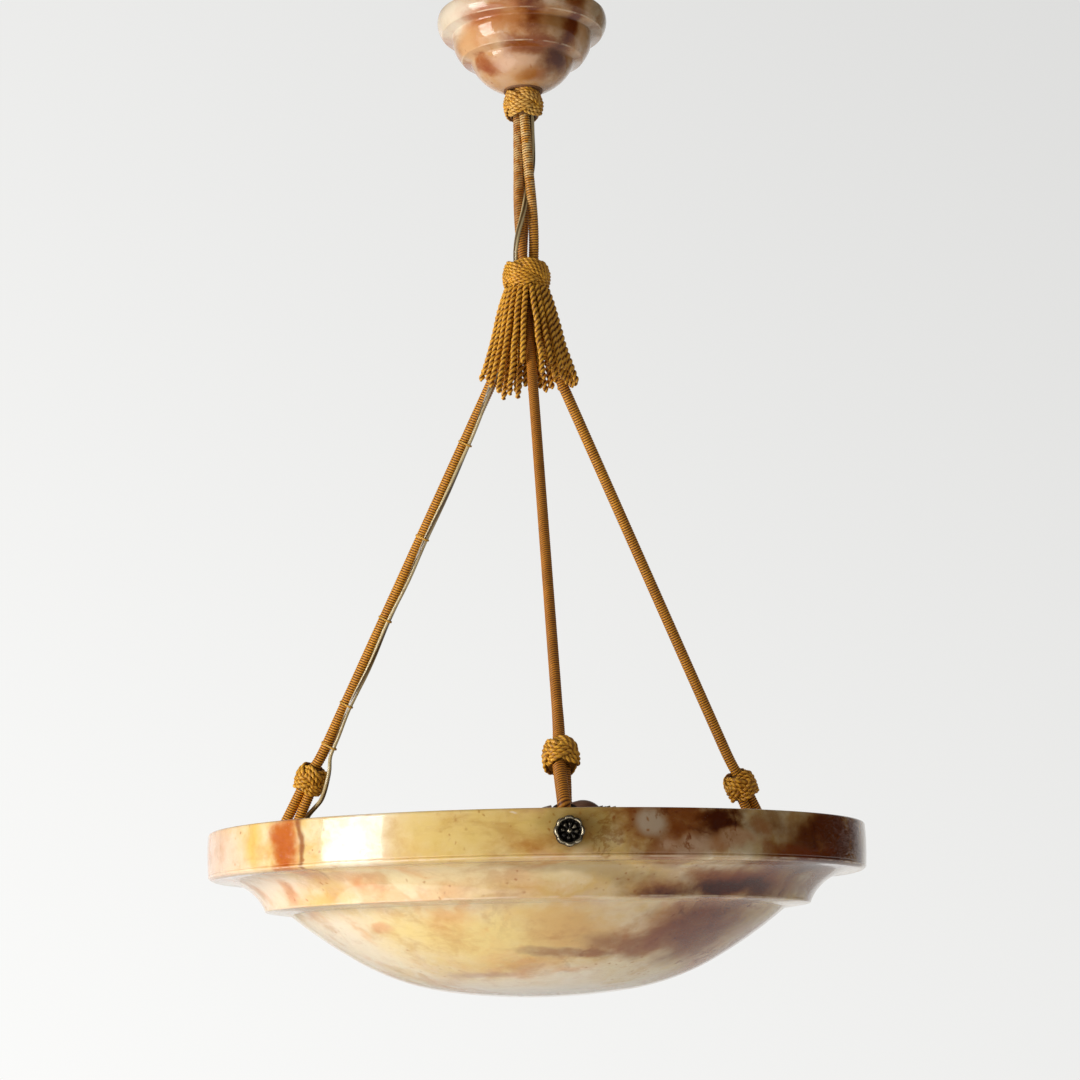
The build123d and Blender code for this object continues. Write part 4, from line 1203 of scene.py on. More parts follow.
# ------------------------------------------------------------------ silk
@dataclass(frozen=True)
class RopeLine:
    """The straight line of one rope, measured from its loop's middle."""

    azimuth: float
    radius: float = 187.207
    height: float = -549.777
    lean: float = 28.445

    def place(self, along: float, off: float = 0.0, side: float = 0.0) -> Vector:
        """A place by the rope.

        Args:
            along: Its length up the rope, in mm.
            off: How far it lies off the rope's line, outwards.
            side: How far it lies to the side.

        Returns:
            The place, in metres.
        """
        s, c = math.sin(math.radians(self.lean)), math.cos(math.radians(self.lean))
        a = math.radians(self.azimuth)
        across = Vector((math.cos(a), math.sin(a), 0.0)) * (side * MM)
        return around(self.radius - along * s + off * c, self.azimuth, self.height + along * c + off * s) + across

    def frame(self, along: float) -> Matrix:
        """A placing at a length up the rope, whose Z runs up the rope and whose X is outwards.

        Args:
            along: The length, in mm.

        Returns:
            The placing.
        """
        here = self.place(along)
        up = (self.place(along + 1) - here).normalized()
        out = (self.place(along, 1) - here).normalized()
        return placing(here, out, up.cross(out), up)


class Side(Enum):
    """The three ropes, by the azimuth that each hangs at."""

    FRONT = 5.0
    LEFT = -115.0
    RIGHT = 125.0

    @property
    def word(self) -> str:
        """The side's name, as it stands in the names of its pieces."""
        return self.name.lower()

    @property
    def line(self) -> RopeLine:
        """The line of its rope."""
        return RopeLine(self.value)


@dataclass
class WoundRope:
    """A silk rope: twisted with the others, then straight to its knot and round its ring.

    The reaches are its distances from the axis in the twisted bundle, one for each step down. Under
    its knot it lies in two strands, and the ring holds the places of the loop that joins them.
    """

    side: Side
    knot_at: float
    pitch: float = 1.7
    starts: int = 1
    ridge: float = 0.46
    free: float = 3.7
    tight: float = 3.4
    looped: float = 3.55
    fray: float = 0.0
    turned: float = 0.0
    # The first two colours are the silk's own tones; the third is the shine of the painted highlight on the windings'
    # crests.
    dye: tuple[Colour, Colour, Colour] = (0.45, 0.15, 0.005), (0.70, 0.28, 0.012), (0.96, 0.44, 0.025)
    reaches: tuple[float, ...] = (3.95, 3.95, 3.95, 4.2, 5.0, 5.6, 5.5, 4.7, 4.1)
    head_z: float = -32.4
    head_turn: float = 126.0
    twist_top: float = -63.0
    twist_drop: float = 16.5
    twist_turn: float = 14.0
    parting_z: float = -211.5
    strand: float = 3.4
    loosens_at: float = 175.0
    looped_length: float = 120.0
    eased: float = 40.0
    sides: int = 18
    ring: tuple[Pair, ...] = ((0.8, 4.75), (-2.9, 4.55), (-4.9, 2.0), (-4.9, -2.0), (-2.9, -4.55), (0.8, -4.75))

    def loop(self, along: float, off: float) -> Vector:
        """A place in the loop, which is turned about the rope's line above its ring.

        Args:
            along: The length up the rope, in mm.
            off: How far it lies off the rope's line.

        Returns:
            The place, in metres.
        """
        turn = math.radians(self.turned) * max(0.35, through(along, -5.0, 16.0))
        return self.side.line.place(along, off * math.cos(turn), off * math.sin(turn))

    def route(self) -> Route:
        """The rope's route, with its twist, its straight run and its loop.

        Returns:
            The route.
        """
        first, azimuth = self.reaches[0], self.side.value
        points = [around(first, azimuth - self.head_turn, self.head_z)]
        for k, reach in enumerate(self.reaches):
            turn = self.twist_turn * (len(self.reaches) - k)
            points.append(around(reach, azimuth - turn, self.twist_top - self.twist_drop * k))
        points.append(around(first, azimuth, self.parting_z))
        knot, strand = self.knot_at, self.strand
        straight = ((345, 0), (knot + 46, 0), (knot + 13, 0), (knot + 3, strand), (knot - 11.5, strand))
        ending = ((knot - 11.5, -strand), (knot + 1, -strand))
        return Route([*points, *(self.loop(along, off) for along, off in (*straight, *self.ring, *ending))])

    def build(self, shop: Workshop) -> None:
        """Winds the rope and finishes it.

        Args:
            shop: The workshop.
        """
        stations = self.route().stations(self.pitch / 6)
        whole = stations[-1].length / MM

        def wound(share: float, laps: float, length: float) -> float:
            """The rope's radius over its windings.

            Args:
                share: The share of the way round.
                laps: The windings so far.
                length: The length so far, in mm.

            Returns:
                The radius, in mm.
            """
            loose = through(length, self.loosens_at, self.eased)
            near = through(length, whole - self.looped_length, self.eased)
            crest = abs(math.cos((laps - self.starts * share) * math.pi))
            return blend(blend(self.tight, self.free, loose), self.looped, near) - self.ridge * (1 - crest) ** 1.4

        bm = swept(stations, wound, self.sides, Twist(self.pitch))
        name = f"wound_rope_{self.side.word}"
        # body and light are the silk's own tones; shine is the painted highlight on the crests
        body, light, shine = self.dye
        silk = Silk(f"{name}_silk", 1, self.starts, body, light, shine, fray=self.fray)
        shop.piece(name, bm, "pendant", silk, [f"rope_{self.side.word}"])


@dataclass
class LacedKnot:
    """A Turk's head of three leads, laced round the ropes with a few plies of cord side by side."""

    name: str
    node: str
    body: str
    frame: Matrix
    radius: float
    height: float
    bore: float
    top_bore: float
    plies: int
    ply: float
    fullness: float = 0.6
    lay: float = 6.4
    fray: float = 0.0
    leads: int = 3
    bights: int = 4
    lift: float = 0.9
    crossing: float = 2.2
    play: float = 0.2
    beside: float = 1.9
    lag: float = 0.21
    steps: int = 96
    rows: int = 12
    sides: int = 12

    def barrel(self, z: float) -> float:
        """The radius of the surface that the cord is laced on.

        Args:
            z: The height from the knot's middle, in mm.

        Returns:
            The radius, in mm.
        """
        widest = self.radius - self.ply - self.lift
        ends = (self.top_bore if z > 0 else self.bore) + self.ply + self.play / 2
        share = through(abs(z), 0.0, self.height / 2 - self.ply)
        return ends + (widest - ends) * math.cos(share * math.pi / 2) ** self.fullness

    def stations(self, across: float) -> list[Station]:
        """Stations along one ply.

        Args:
            across: How far the ply lies to the side of the middle of the plies.

        Returns:
            The ply's stations, with the last at the first.
        """
        swing = self.height / 2 - self.ply * self.plies - self.play
        count = self.steps * self.bights
        places, outs = [], []
        for k in range(count + 1):
            t = 2 * math.pi * (k % count) / count
            z = swing * math.cos(self.bights * t)
            run = self.leads * self.barrel(z)
            climb = -swing * self.bights * math.sin(self.bights * t)
            beside = across / math.hypot(run, climb)
            height = z + beside * run
            a = self.leads * t - beside * climb / self.barrel(z)
            r = self.barrel(height) + math.tanh(self.crossing * math.sin(2 * self.bights * t)) * self.lift
            outs.append(Vector((math.cos(a), math.sin(a), 0)))
            places.append(Vector((r * math.cos(a), r * math.sin(a), height)) * MM)
        stations = []
        for k, (place, out) in enumerate(zip(places, outs)):
            way = (places[(k + 1) % count] - places[(k - 1) % count]).normalized()
            stations.append(Station(place, way, (out - way * out.dot(way)).normalized()))
        return measured(stations)

    def strand(self, share: float, laps: float, _: float) -> float:
        """The radius of a ply twisted of two strands."""
        return self.ply * (0.72 + 0.36 * lobed(share, laps))

    def core(self) -> bmesh.types.BMesh:
        """Turns the core under the plies, which is coloured with the painted shade of their inner side.

        Returns:
            The core's mesh.
        """
        reach = self.height / 2 - self.ply
        heights = [blend(-1, 1, k / self.rows) * reach for k in range(self.rows + 1)]
        inner = min(self.bore, self.top_bore)
        barrel = [(self.barrel(z) - 0.5 * self.ply, z) for z in heights]
        bm = turned([(inner, heights[0]), *barrel, (inner, heights[-1])], 48)
        uv = bm.loops.layers.uv.new("UVMap")
        for face in bm.faces:
            for loop in face.loops:
                loop[uv].uv.x = 0.5
        return bm

    def build(self, shop: Workshop) -> None:
        """Laces the knot over its core and finishes it.

        Args:
            shop: The workshop.
        """
        bm = blank()
        for k in range(self.plies):
            stations = self.stations((k - (self.plies - 1) / 2) * self.beside * self.ply)
            whole = stations[-1].length / MM
            twist = Twist(whole / round(whole / self.lay), self.lag * k)
            joined(bm, swept(stations, self.strand, self.sides, twist, closed=True))
        joined(bm, self.core())
        bmesh.ops.transform(bm, matrix=self.frame, verts=bm.verts)
        name = "frayed_knot_silk" if self.fray else "knot_silk"
        # The knot's silk has painted shade in its grooves and on the plies' inner side.
        silk = Silk(name, 2, 2, groove=0.45, tuck=0.9, fray=self.fray, fray_foot=-0.14)
        shop.piece(self.name, bm, self.body, silk, [self.node])


@dataclass
class Skirt:
    """One layer of the tassel's cords.

    Its cords start at a radius and spread by a share of the bell's shape, and its angles say how far
    they keep from the ropes and from the lead.
    """

    count: int
    top: float
    spread: float
    beside_rope: float
    beside_lead: float


@dataclass
class Tassel:
    """The tassel's skirt of two-strand cords below a bound head.

    The bell is the outer layer's depths and radii, and the sway is how far a cord swings at shares of
    its length. The cords of the long side hang lower than the rest.
    """

    head_top: float = -193.4
    head_depth: float = 3.0
    head_radius: float = 13.2
    bore: float = 8.2
    cord: float = 1.9
    lay: float = 8.4
    sides: int = 10
    shortest: float = 56.0
    longest: float = 65.0
    long_side: float = -33.0
    longer: float = 15.0
    bell: tuple[Pair, ...] = (
        (0, 13.4), (3, 14.8), (8, 16.4), (16, 18.8), (26, 21.3), (42, 25.2), (54, 29.2), (68, 33.6),
    )
    sway: tuple[Pair, ...] = ((0, 0.0), (0.1, 0.1), (0.25, 0.6), (0.42, -0.5), (0.6, 0.9), (0.8, -0.7), (1.0, 0.8))
    layers: tuple[Skirt, ...] = (
        Skirt(25, 13.4, 1.0, 12.0, 16.0),
        Skirt(19, 11.6, 0.78, 15.0, 29.0),
        Skirt(11, 10.2, 0.54, 22.0, 44.0),
    )

    def azimuths(self, layer: Skirt) -> list[Pair]:
        """Where a layer's cords start and hang: evenly under the knot, then clear of the ropes and the lead.

        Args:
            layer: The layer.

        Returns:
            Each cord's azimuth under the knot, and lower down.
        """
        front, left, right = (side.value for side in Side)
        rope, lead = layer.beside_rope, layer.beside_lead
        starts = front + rope, right + rope, left + 360 + lead
        ends = right - rope, left + 360 - rope, front + 360 - rope
        total = sum(ends) - sum(starts)
        places = []
        for low, high in zip(starts, ends):
            count = max(2, round(layer.count * (high - low) / total))
            places += [blend(low, high, k / (count - 1)) for k in range(count)]
        return [(front + 360 * (k + 0.5) / len(places), place) for k, place in enumerate(places)]

    def bell_radius(self, layer: Skirt, drop: float) -> float:
        """How far a layer hangs from the axis.

        Args:
            layer: The layer.
            drop: The depth below the head, in mm.

        Returns:
            The radius, in mm.
        """
        spans = list(zip(self.bell, self.bell[1:]))
        (high, wide), (low, wider) = next((span for span in spans if drop <= span[1][0]), spans[-1])
        outer = blend(wide, wider, (drop - high) / (low - high))
        return layer.top + (outer - self.bell[0][1]) * layer.spread

    def hang(self, layer: Skirt, start: float, azimuth: float, chance: random.Random) -> bmesh.types.BMesh:
        """Makes one hanging cord.

        Args:
            layer: Its layer.
            start: Its azimuth under the knot.
            azimuth: Its azimuth lower down.
            chance: The tassel's random numbers.

        Returns:
            The cord's mesh.
        """
        fall = blend(self.shortest, self.longest, chance.random())
        if math.cos(math.radians(azimuth - self.long_side)) > 0.955:
            fall += self.longer
        out, swing = chance.uniform(-1.6, 0.6), chance.uniform(-2.6, 2.6)
        top = self.head_top - 0.6
        route = []
        for share, turn in self.sway:
            drop = fall * share
            away = self.bell_radius(layer, drop) + out * share + chance.uniform(-0.4, 0.4) * (share > 0.2)
            route.append(around(away, blend(start, azimuth, through(share, 0.0, 0.4)) + swing * turn, top - drop))
        stations = Route(route).stations(self.lay / 12)
        whole = stations[-1].length / MM

        def strand(share: float, laps: float, length: float) -> float:
            """The radius of two strands twisted together, rounded off at the cord's end."""
            end = through(whole - length, 0.0, self.cord)
            return self.cord * (0.42 + 0.64 * lobed(share, laps)) * math.sqrt(1 - (1 - end) ** 2 * 0.92)

        return swept(stations, strand, self.sides, Twist(self.lay, chance.random()))

    def head(self) -> bmesh.types.BMesh:
        """Turns the bound head, with its edges broken.

        Returns:
            The head's mesh.
        """
        top, low, reach = self.head_top, self.head_top - self.head_depth, self.head_radius
        outside = [(reach - 0.8, top), (reach, top - 0.8), (reach, low + 0.6), (reach - 0.6, low)]
        return turned([(self.bore, top), *outside, (self.bore, low)], 48)

    def build(self, shop: Workshop) -> None:
        """Makes the head and the skirt.

        Args:
            shop: The workshop.
        """
        chance = random.Random(23)
        bm = self.head()
        bm.loops.layers.uv.new("UVMap")
        for layer in self.layers:
            for start, azimuth in self.azimuths(layer):
                joined(bm, self.hang(layer, start, azimuth + chance.uniform(-0.6, 0.6), chance))
        silk = Silk("fringe_silk", 2, 2, (0.50, 0.185, 0.007), (0.82, 0.39, 0.028), grime=0.45)
        shop.piece("tassel_skirt", bm, "pendant", silk, ["tassel_fringe"])


@dataclass
class LampLead:
    """The two-core lead in its clear sheath, and the threads that tie it to the left rope.

    Its places are given as radius, azimuth and height in the bundle and over the bracket's arm, and as
    length, outwards and sideways beside the rope. The ties and the bows between them lie beside the rope.
    """

    radius: float = 1.75
    sides: int = 20
    spacing: float = 2.0
    cores_turn: float = 227.0
    cores_start: float = 0.016
    thread: float = 0.33
    thread_sides: int = 8
    turns: int = 2
    steps: int = 40
    rope: float = 3.62
    line: RopeLine = Side.LEFT.line
    half_tie: float = 6.0
    ties: tuple[Triple, ...] = (
        (292.0, -5.0, 2.4), (223.0, -5.0, 2.4), (163.0, -5.0, 2.4), (100.0, -5.0, 2.4),
        (70.0, -7.0, 2.6),
    )
    bows: tuple[Triple, ...] = ((257.0, -5.9, 2.9), (193.0, -6.2, 2.6), (131.0, -6.4, 2.4))
    in_bundle: tuple[Triple, ...] = (
        (20, 90, -9), (19.4, 88, -22), (16, 82, -31), (11.8, 70, -40.3), (6.15, 56, -49.4),
        (6.15, 59, -63), (6.15, 73, -79.5), (6.15, 87, -96), (5.8, 97, -108), (3.6, 98, -119),
        (1.2, 30, -127), (4.8, 0, -135.6), (8.3, -14, -145.5), (9.5, -38, -158.7), (8.8, -57, -172),
        (7.0, -64, -184), (6.3, -66, -197), (6.65, -62, -211.5),
    )
    from_tassel: tuple[Triple, ...] = ((360.0, -1.2, 5.4), (330.0, -3.6, 4.6))
    past_knot: tuple[Triple, ...] = (
        (57.0, -12.2, 4.6), (47.0, -14.4, 4.0), (40.0, -14.2, 1.6), (34.0, -12.2, -2.6),
        (27.5, -8.0, -6.8), (20.0, -4.6, -8.2), (12.0, -4.4, -8.0), (5.0, -7.0, -6.4),
    )
    over_arm: tuple[Triple, ...] = (
        (169.4, -115, -557), (164.4, -115, -569), (148.5, -114.6, -577.0), (97.7, -115.6, -584.1),
        (56.7, -114, -589.8),
    )
    by_hub: tuple[Triple, ...] = ((-26.4, 14.75, -593.65), (0, 14.75, -594.65), (22, 15.75, -593.65))
    to_holder: tuple[Triple, ...] = (
        (-4.7, 15, 43.2), (-23.5, 11, 38.1), (-36.2, 5.5, 28.4), (-41.2, 1.5, 16.8),
        (-40.1, 0, 6.8), (-31, 0, 0), (-6.8, 0, 0),
    )

    def route(self) -> Route:
        """The lead's route, from the terminal block to the lampholder.

        Returns:
            The route, whose last places lie along, beside and below the lampholder's tilted axis.
        """
        beside = [*self.from_tassel]
        for k, (along, off, side) in enumerate(self.ties):
            ends = along + self.half_tie, along - self.half_tie
            beside += [*((end, off, side) for end in ends), *self.bows[k : k + 1]]
        points = [around(*place) for place in self.in_bundle]
        points += [self.line.place(*place) for place in (*beside, *self.past_knot)]
        points += [around(*place) for place in self.over_arm]
        points += [Vector(place) * MM for place in self.by_hub]
        axis, below = Vector((-0.9703, 0, -0.2419)), Vector((0.2419, 0, -0.9703))
        for on, side, under in self.to_holder:
            points.append((Vector((30, side, -548.2)) + axis * on + below * under) * MM)
        return Route(points)

    def tie(self, along: float, off: float, side: float) -> bmesh.types.BMesh:
        """Winds one tie of thread round the rope and the lead.

        Args:
            along: Its length up the rope, in mm.
            off: How far the lead lies off the rope there, outwards.
            side: How far the lead lies to the side.

        Returns:
            The tie's mesh.
        """
        frame = self.line.frame(along)
        turn = frame.to_3x3()
        lead = Vector((off, side, 0.0))
        count = self.steps * self.turns
        stations = []
        for k in range(count + 1):
            a = 2 * math.pi * k / self.steps
            way, run = Vector((math.cos(a), math.sin(a), 0.0)), Vector((-math.sin(a), math.cos(a), 0.0))
            round_rope = way * (self.rope + self.thread)
            round_lead = lead + way * (self.radius + self.thread)
            at = round_rope if round_rope.dot(way) > round_lead.dot(way) else round_lead
            at.z = blend(-1, 1, k / count) * self.thread * self.turns * 0.9
            stations.append(Station(frame @ (at * MM), (turn @ run).normalized(), (turn @ way).normalized()))
        return swept(measured(stations), lambda share, laps, length: self.thread, self.thread_sides)

    def cores(self, share: float, laps: float, _: float) -> float:
        """The lead's radius: two cores side by side under the sheath."""
        return self.radius * (0.55 + 0.45 * lobed(share, laps) ** 0.8)

    def build(self, shop: Workshop) -> None:
        """Lays the lead and winds its ties.

        Args:
            shop: The workshop.
        """
        twist = Twist(self.cores_turn, self.cores_start)
        bm = swept(self.route().stations(self.spacing), self.cores, self.sides, twist)
        shop.piece("lamp_lead", bm, "pendant", ClearSheath(), ["lead"])
        bm = blank()
        for place in self.ties:
            joined(bm, self.tie(*place))
        thread = Silk("tie_thread", body=(0.26, 0.12, 0.03), light=(0.42, 0.22, 0.07), groove=0.0)
        shop.piece("thread_ties", bm, "pendant", thread, ["lead_ties"])


# ------------------------------------------------------------------ metal and lamp
@dataclass
class Rosette:
    """A cast rosette that hides an eye bolt's end: a scalloped rim, a dark hollow and a flower."""

    side: Side
    seat: float = 210.4
    height: float = -566.6
    petals: int = 8
    rim_from: float = 6.2
    notch: float = 0.11
    swell: float = 0.9
    sink: float = 2.0
    reach: float = 9.0
    tall: float = 5.0
    foot: tuple[Pair, ...] = ((0, 3.25), (2.15, 3.25), (2.15, 0), (8.3, 0), (8.75, 0.35), (9.0, 1.0), (9.0, 2.6))
    rim: tuple[Pair, ...] = ((8.85, 3.6), (8.6, 4.4), (8.2, 4.85), (7.75, 5.0), (7.3, 4.85), (6.95, 4.4), (6.65, 3.6))
    hollow: tuple[Pair, ...] = ((6.35, 2.9), (6.0, 2.55), (5.6, 2.7), (5.2, 3.2))
    flower: tuple[Pair, ...] = ((4.7, 3.8), (4.1, 4.1), (3.4, 4.0), (2.8, 3.7), (2.2, 3.4), (1.75, 3.3))
    eye: tuple[Pair, ...] = ((1.45, 3.7), (1.2, 4.3), (0.85, 4.75), (0.45, 4.95), (0, 5.0))

    def scalloped(self, r: float, a: float, h: float) -> Pair:
        """How a place on the spun rosette is pulled in on the rim, or sunk between two petals.

        Args:
            r: Its radius, in mm.
            a: Its angle.
            h: Its height, in mm.

        Returns:
            The scale across, and the rise in mm.
        """
        if h > 0.2 and r > self.rim_from:
            lobe = abs(math.cos(self.petals * a / 2)) ** 0.7
            return 1 - self.notch * (1 - lobe) * through(r, 6.0, 1.5), self.swell * (lobe - 0.75) * (h > 3.4)
        if h > 2.6 and r > 1.6:
            lobe = abs(math.cos(self.petals * a / 2 + 0.5))
            return 1.0, -self.sink * (1 - lobe) ** 1.5 * through(6.3 - r, 0.0, 1.2)
        return 1.0, 0.0

    def build(self, shop: Workshop) -> None:
        """Spins the rosette, scallops it and sets it on the band.

        Args:
            shop: The workshop.
        """
        bm = turned([*self.foot, *self.rim, *self.hollow, *self.flower, *self.eye], 120)
        uv = bm.loops.layers.uv.new("UVMap")
        for vert in bm.verts:
            x, y, z = vert.co
            scale, rise = self.scalloped(math.hypot(x, y) / MM, math.atan2(y, x), z / MM)
            vert.co = x * scale, y * scale, z + rise * MM
        for face in bm.faces:
            for loop in face.loops:
                x, y, z = loop.vert.co / MM
                loop[uv].uv = (math.hypot(x, y) / self.reach, z / self.tall)
        a = math.radians(self.side.value)
        out, across = Vector((math.sin(a), -math.cos(a), 0)), Vector((math.cos(a), math.sin(a), 0))
        seat = placing(around(self.seat, self.side.value, self.height), across, Vector((0, 0, 1)), out)
        bmesh.ops.transform(bm, matrix=seat, verts=bm.verts)
        name = f"cast_rosette_{self.side.word}"
        shop.piece(name, bm, "pendant", CastBrass(), [f"rosette_{self.side.word}"], crease=50.0)


@dataclass
class Fittings:
    """The ceiling fittings, the metalwork in the bowl, the lampholder and the lamp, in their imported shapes."""

    def finishes(self) -> dict[Finish, Sequence[str]]:
        """The nodes that each finish goes on.

        Returns:
            The nodes' names, by finish.
        """
        rings, bolts = ([f"{stem}_{side.word}" for side in Side] for stem in ("rope_ring", "eye_bolt"))
        zinc = Metal("zinc_plate", (0.56, 0.57, 0.58), (0.30, 0.29, 0.27), roughness=0.34)
        steel = Metal("steel_hook", (0.46, 0.45, 0.43), (0.20, 0.15, 0.11), roughness=0.32)
        bracket = Metal("bracket_steel", (0.34, 0.32, 0.29), (0.14, 0.10, 0.07), Wear.PATINATED, 0.38)
        screw = Metal("brass_screw", (0.66, 0.47, 0.20), (0.26, 0.16, 0.06), Wear.CLEAN, 0.25)
        shell = Metal("brass_shell", (0.68, 0.50, 0.22), (0.30, 0.20, 0.08), Wear.CLEAN, 0.22)
        cap = Metal("lamp_cap", (0.62, 0.60, 0.55), (0.36, 0.33, 0.28), Wear.CLEAN, 0.28)
        brown = Moulded("brown_plastic", (0.15, 0.062, 0.032), (0.26, 0.16, 0.10), 0.34, 0.35, 0.1)
        white = Moulded("white_plastic", (0.76, 0.75, 0.71), roughness=0.38)
        return {
            zinc: ["ceiling_plate"],
            steel: ["ceiling_hook", "hook_nut"],
            Metal("steel_ring", (0.42, 0.41, 0.40), (0.16, 0.13, 0.10)): ["hanging_ring"],
            white: ["terminal_block"],
            Metal("brass_cup", (0.60, 0.42, 0.17), (0.22, 0.13, 0.05)): ["rope_cup", "nipple", "nipple_nuts"],
            screw: ["terminal_screws", "cup_screw"],
            Metal("dark_ring", (0.20, 0.19, 0.18), (0.06, 0.05, 0.045), roughness=0.28): rings,
            Metal("eye_bolt", (0.26, 0.25, 0.24), (0.08, 0.065, 0.05), roughness=0.32): bolts,
            bracket: ["lamp_bracket", "holder_strip"],
            Metal("rivet_steel", (0.42, 0.40, 0.37), (0.16, 0.12, 0.09)): ["bracket_rivets"],
            shell: ["screw_shell", "centre_contact"],
            cap: ["lamp_cap"],
            # The washer's brown is its own colour and also stands in for the painted contact shadow where the knot
            # meets the cup.
            Moulded("brown_washer", (0.26, 0.12, 0.05), (0.34, 0.2, 0.1), 0.5): ["canopy_washer"],
            brown: ["holder_cap", "holder_body", "shade_ring"],
            Moulded("white_ceramic", (0.80, 0.79, 0.75), roughness=0.2, dusty=0.15, coat=0.6): ["holder_insert"],
            OpalGlass(): ["lamp_glass"],
        }

    def build(self, shop: Workshop) -> None:
        """Gives each fitting its finish."""
        for look, nodes in self.finishes().items():
            shop.dress(look, nodes)


# ------------------------------------------------------------------ studio
class Backdrop(Graph):
    """The world's node tree: a pale backdrop for the camera, and a studio's light for the object."""

    def __init__(self, world: bpy.types.World) -> None:
        """Takes up the world's tree."""
        world.use_nodes = True
        self.tree = world.node_tree

    def light(self, strength: Term, colour: Colour) -> Value:
        """A Background shader."""
        return self.node("ShaderNodeBackground", {"Color": colour, "Strength": strength})

    def build(self) -> None:
        """Lights the backdrop: pale for the camera, and mirrored pale behind and dim in front."""
        across, back, up = self.parts(self.place("Generated"))
        pale = across.step(0.5, -0.5) * 0.2 + up.step(0.55, -0.2) * 0.18 + 0.655
        behind = back.step(0.72, 1.0) * 0.84 + across.step(0.0, -0.8) * 0.14 + 0.015
        cast = self.light(0.34, (1.0, 0.99, 0.97))
        camera, mirror = self.rays()
        unseen = self.blended(mirror, cast, self.light(behind, (1.0, 1.0, 0.99)))
        self.show(self.blended(camera, unseen, self.light(pale, (1.0, 1.0, 0.988))))


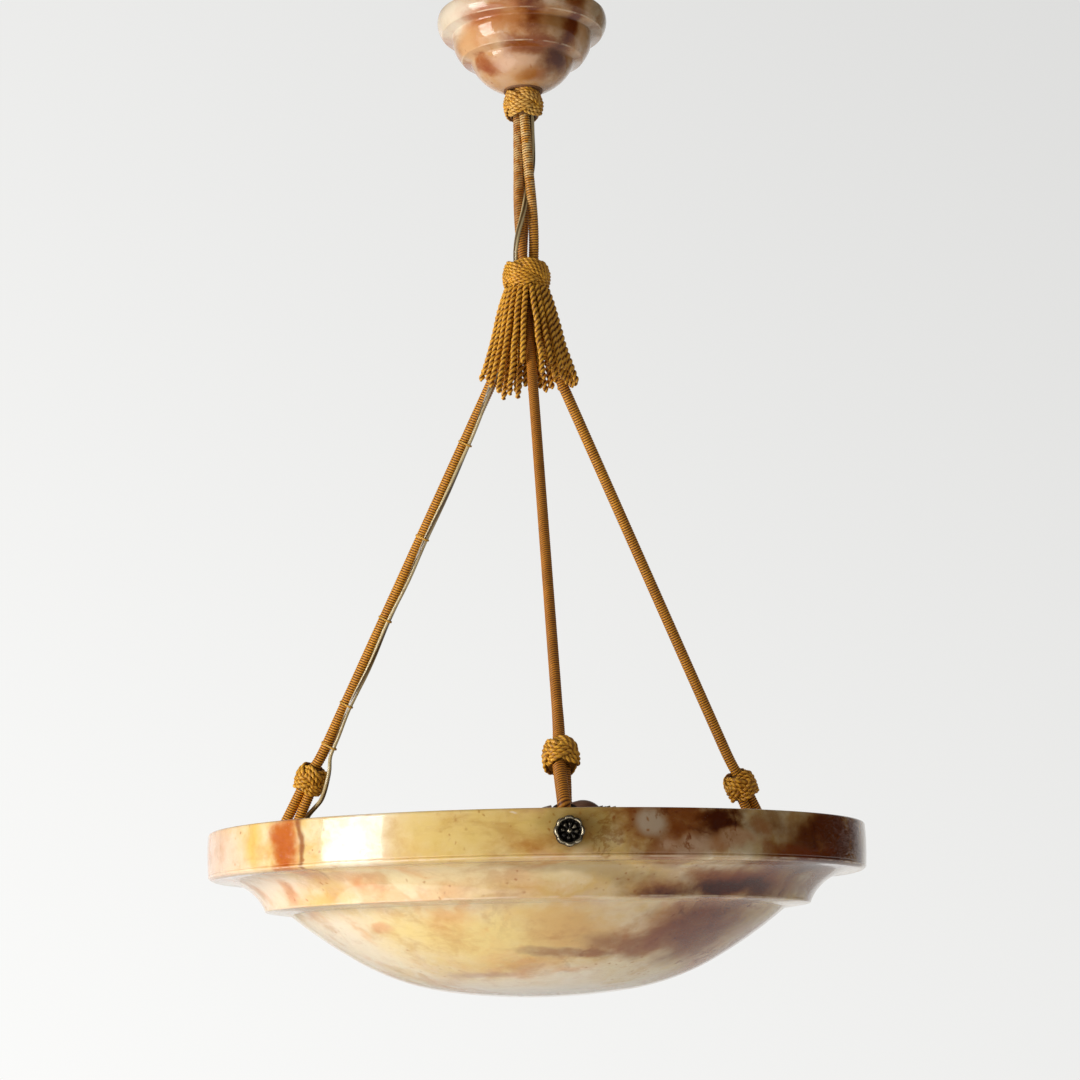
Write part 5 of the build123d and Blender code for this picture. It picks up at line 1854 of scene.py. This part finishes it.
@dataclass
class Studio:
    """The pale floor and background, the soft lamps and the camera at the photograph's angle."""

    floor: float = -1900.0
    floor_radius: float = 9.0
    aim: Triple = (0.0, 0.0, -0.45)
    camera_at: Triple = (0.0, -1772.9, -665.3)
    pan: float = -0.0032
    tilt: float = 0.1689
    roll: float = -0.0189
    lens: float = 91.46
    sensor: float = 36.0
    far: float = 50.0

    def build(self) -> None:
        """Builds the studio."""
        world = bpy.data.worlds.new("studio")
        bpy.context.scene.world = world
        Backdrop(world).build()
        self.ground()
        self.lamp("softbox", Vector((-1.52, -0.826, -0.49)), (0.7, 1.05), 22.5, (1.0, 0.985, 0.96))
        self.lamp("bounce", Vector((-1.0, -0.5, -1.5)), (1.6, 1.6), 13.0, (1.0, 0.99, 0.97))
        self.camera()
        bpy.context.scene.view_settings.view_transform = "Standard"

    def camera(self) -> None:
        """Places the camera, turned by its pan, its tilt above level and its roll."""
        data = bpy.data.cameras.new("camera")
        data.lens, data.sensor_width, data.clip_end = self.lens, self.sensor, self.far
        camera = linked("camera", data)
        turns = ((self.pan, "Z"), (math.pi / 2 + self.tilt, "X"), (self.roll, "Z"))
        pan, tilt, roll = (Matrix.Rotation(angle, 4, axis) for angle, axis in turns)
        camera.matrix_world = Matrix.Translation(Vector(self.camera_at) * MM) @ pan @ tilt @ roll
        bpy.context.scene.camera = camera

    def ground(self) -> None:
        """Lays the floor, far below the lamp; the camera and the mirrors see it a little paler."""
        bm = bmesh.new()
        bmesh.ops.create_circle(bm, cap_ends=True, segments=96, radius=self.floor_radius)
        bmesh.ops.translate(bm, verts=bm.verts, vec=(0, 0, self.floor * MM))
        mesh = bpy.data.meshes.new("floor")
        bm.to_mesh(mesh)
        bm.free()
        paint = Graph("pale_floor")
        mesh.materials.append(paint.feed(base_color=(0.82, 0.82, 0.81), roughness=0.7))
        camera, mirror = paint.rays()
        glow = paint.node("ShaderNodeEmission", {"Color": (0.86, 0.86, 0.85), "Strength": 1.6})
        painted = Value(paint, paint.shader.outputs["BSDF"])
        paint.show(paint.blended(camera * 0.5 + mirror * 0.18, painted, glow))
        linked("floor", mesh)

    def lamp(self, name: str, at: Vector, size: Pair, power: float, colour: Colour) -> None:
        """Adds a soft rectangular lamp that faces the bowl and that the camera doesn't see.

        Args:
            name: Its name.
            at: Its place, in metres.
            size: Its width and height.
            power: Its power.
            colour: Its colour.
        """
        data = bpy.data.lights.new(name, "AREA")
        data.shape = "RECTANGLE"
        data.size, data.size_y = size
        data.energy = power
        data.color = colour
        lamp = linked(name, data)
        lamp.visible_camera = False
        turn = (Vector(self.aim) - at).to_track_quat("-Z", "Y").to_matrix().to_4x4()
        lamp.matrix_world = Matrix.Translation(at) @ turn


def main() -> None:
    """Builds the studio and the pendant's pieces in order."""
    logging.basicConfig(level=logging.INFO, stream=sys.stdout, format="%(message)s")
    shop = Workshop()
    Studio().build()
    # The third rusty colour is the shine of the painted highlight on the front rope's crests.
    rusty = (0.37, 0.112, 0.005), (0.58, 0.205, 0.012), (0.82, 0.34, 0.025)
    plump = {"pitch": 1.65, "starts": 3, "ridge": 0.36, "free": 3.4, "looped": 4.0, "turned": -30.0}
    end_knot = {"radius": 11.4, "height": 19.5, "bore": 6.95, "top_bore": 4.6, "plies": 3, "ply": 1.42}
    for rope in (
        WoundRope(Side.FRONT, knot_at=34.0, fray=0.7, dye=rusty, **plump),
        WoundRope(Side.LEFT, knot_at=44.0, fray=0.9),
        WoundRope(Side.RIGHT, knot_at=36.0, fray=1.0),
    ):
        rope.build(shop)
        side, place = rope.side, rope.side.line.frame(rope.knot_at)
        node, body = f"end_knot_{side.word}", f"knot_{side.word}"
        LacedKnot(f"{node}_laced", node, body, place, **end_knot).build(shop)
        Rosette(side).build(shop)
    LampLead().build(shop)
    canopy_knot = {"radius": 13.8, "height": 20.4, "plies": 4, "ply": 1.2, "fullness": 0.9, "fray": 0.4}
    tassel_knot = {"radius": 16.3, "height": 21.6, "plies": 5, "ply": 1.13, "fullness": 0.3, "fray": 0.3}
    for node, body, z, sizes in (
        ("canopy_knot", "canopy_stack", -65.4, canopy_knot),
        ("tassel_knot", "pendant", -185.15, tassel_knot),
    ):
        place = Matrix.Translation((0, 0, z * MM))
        LacedKnot(f"{node}_laced", node, body, place, bore=8.2, top_bore=8.2, lay=6.0, **sizes).build(shop)
    for maker in (Tassel(), CeilingCup(), StoneBowl(), Fittings()):
        maker.build(shop)


if __name__ == "__main__":
    main()
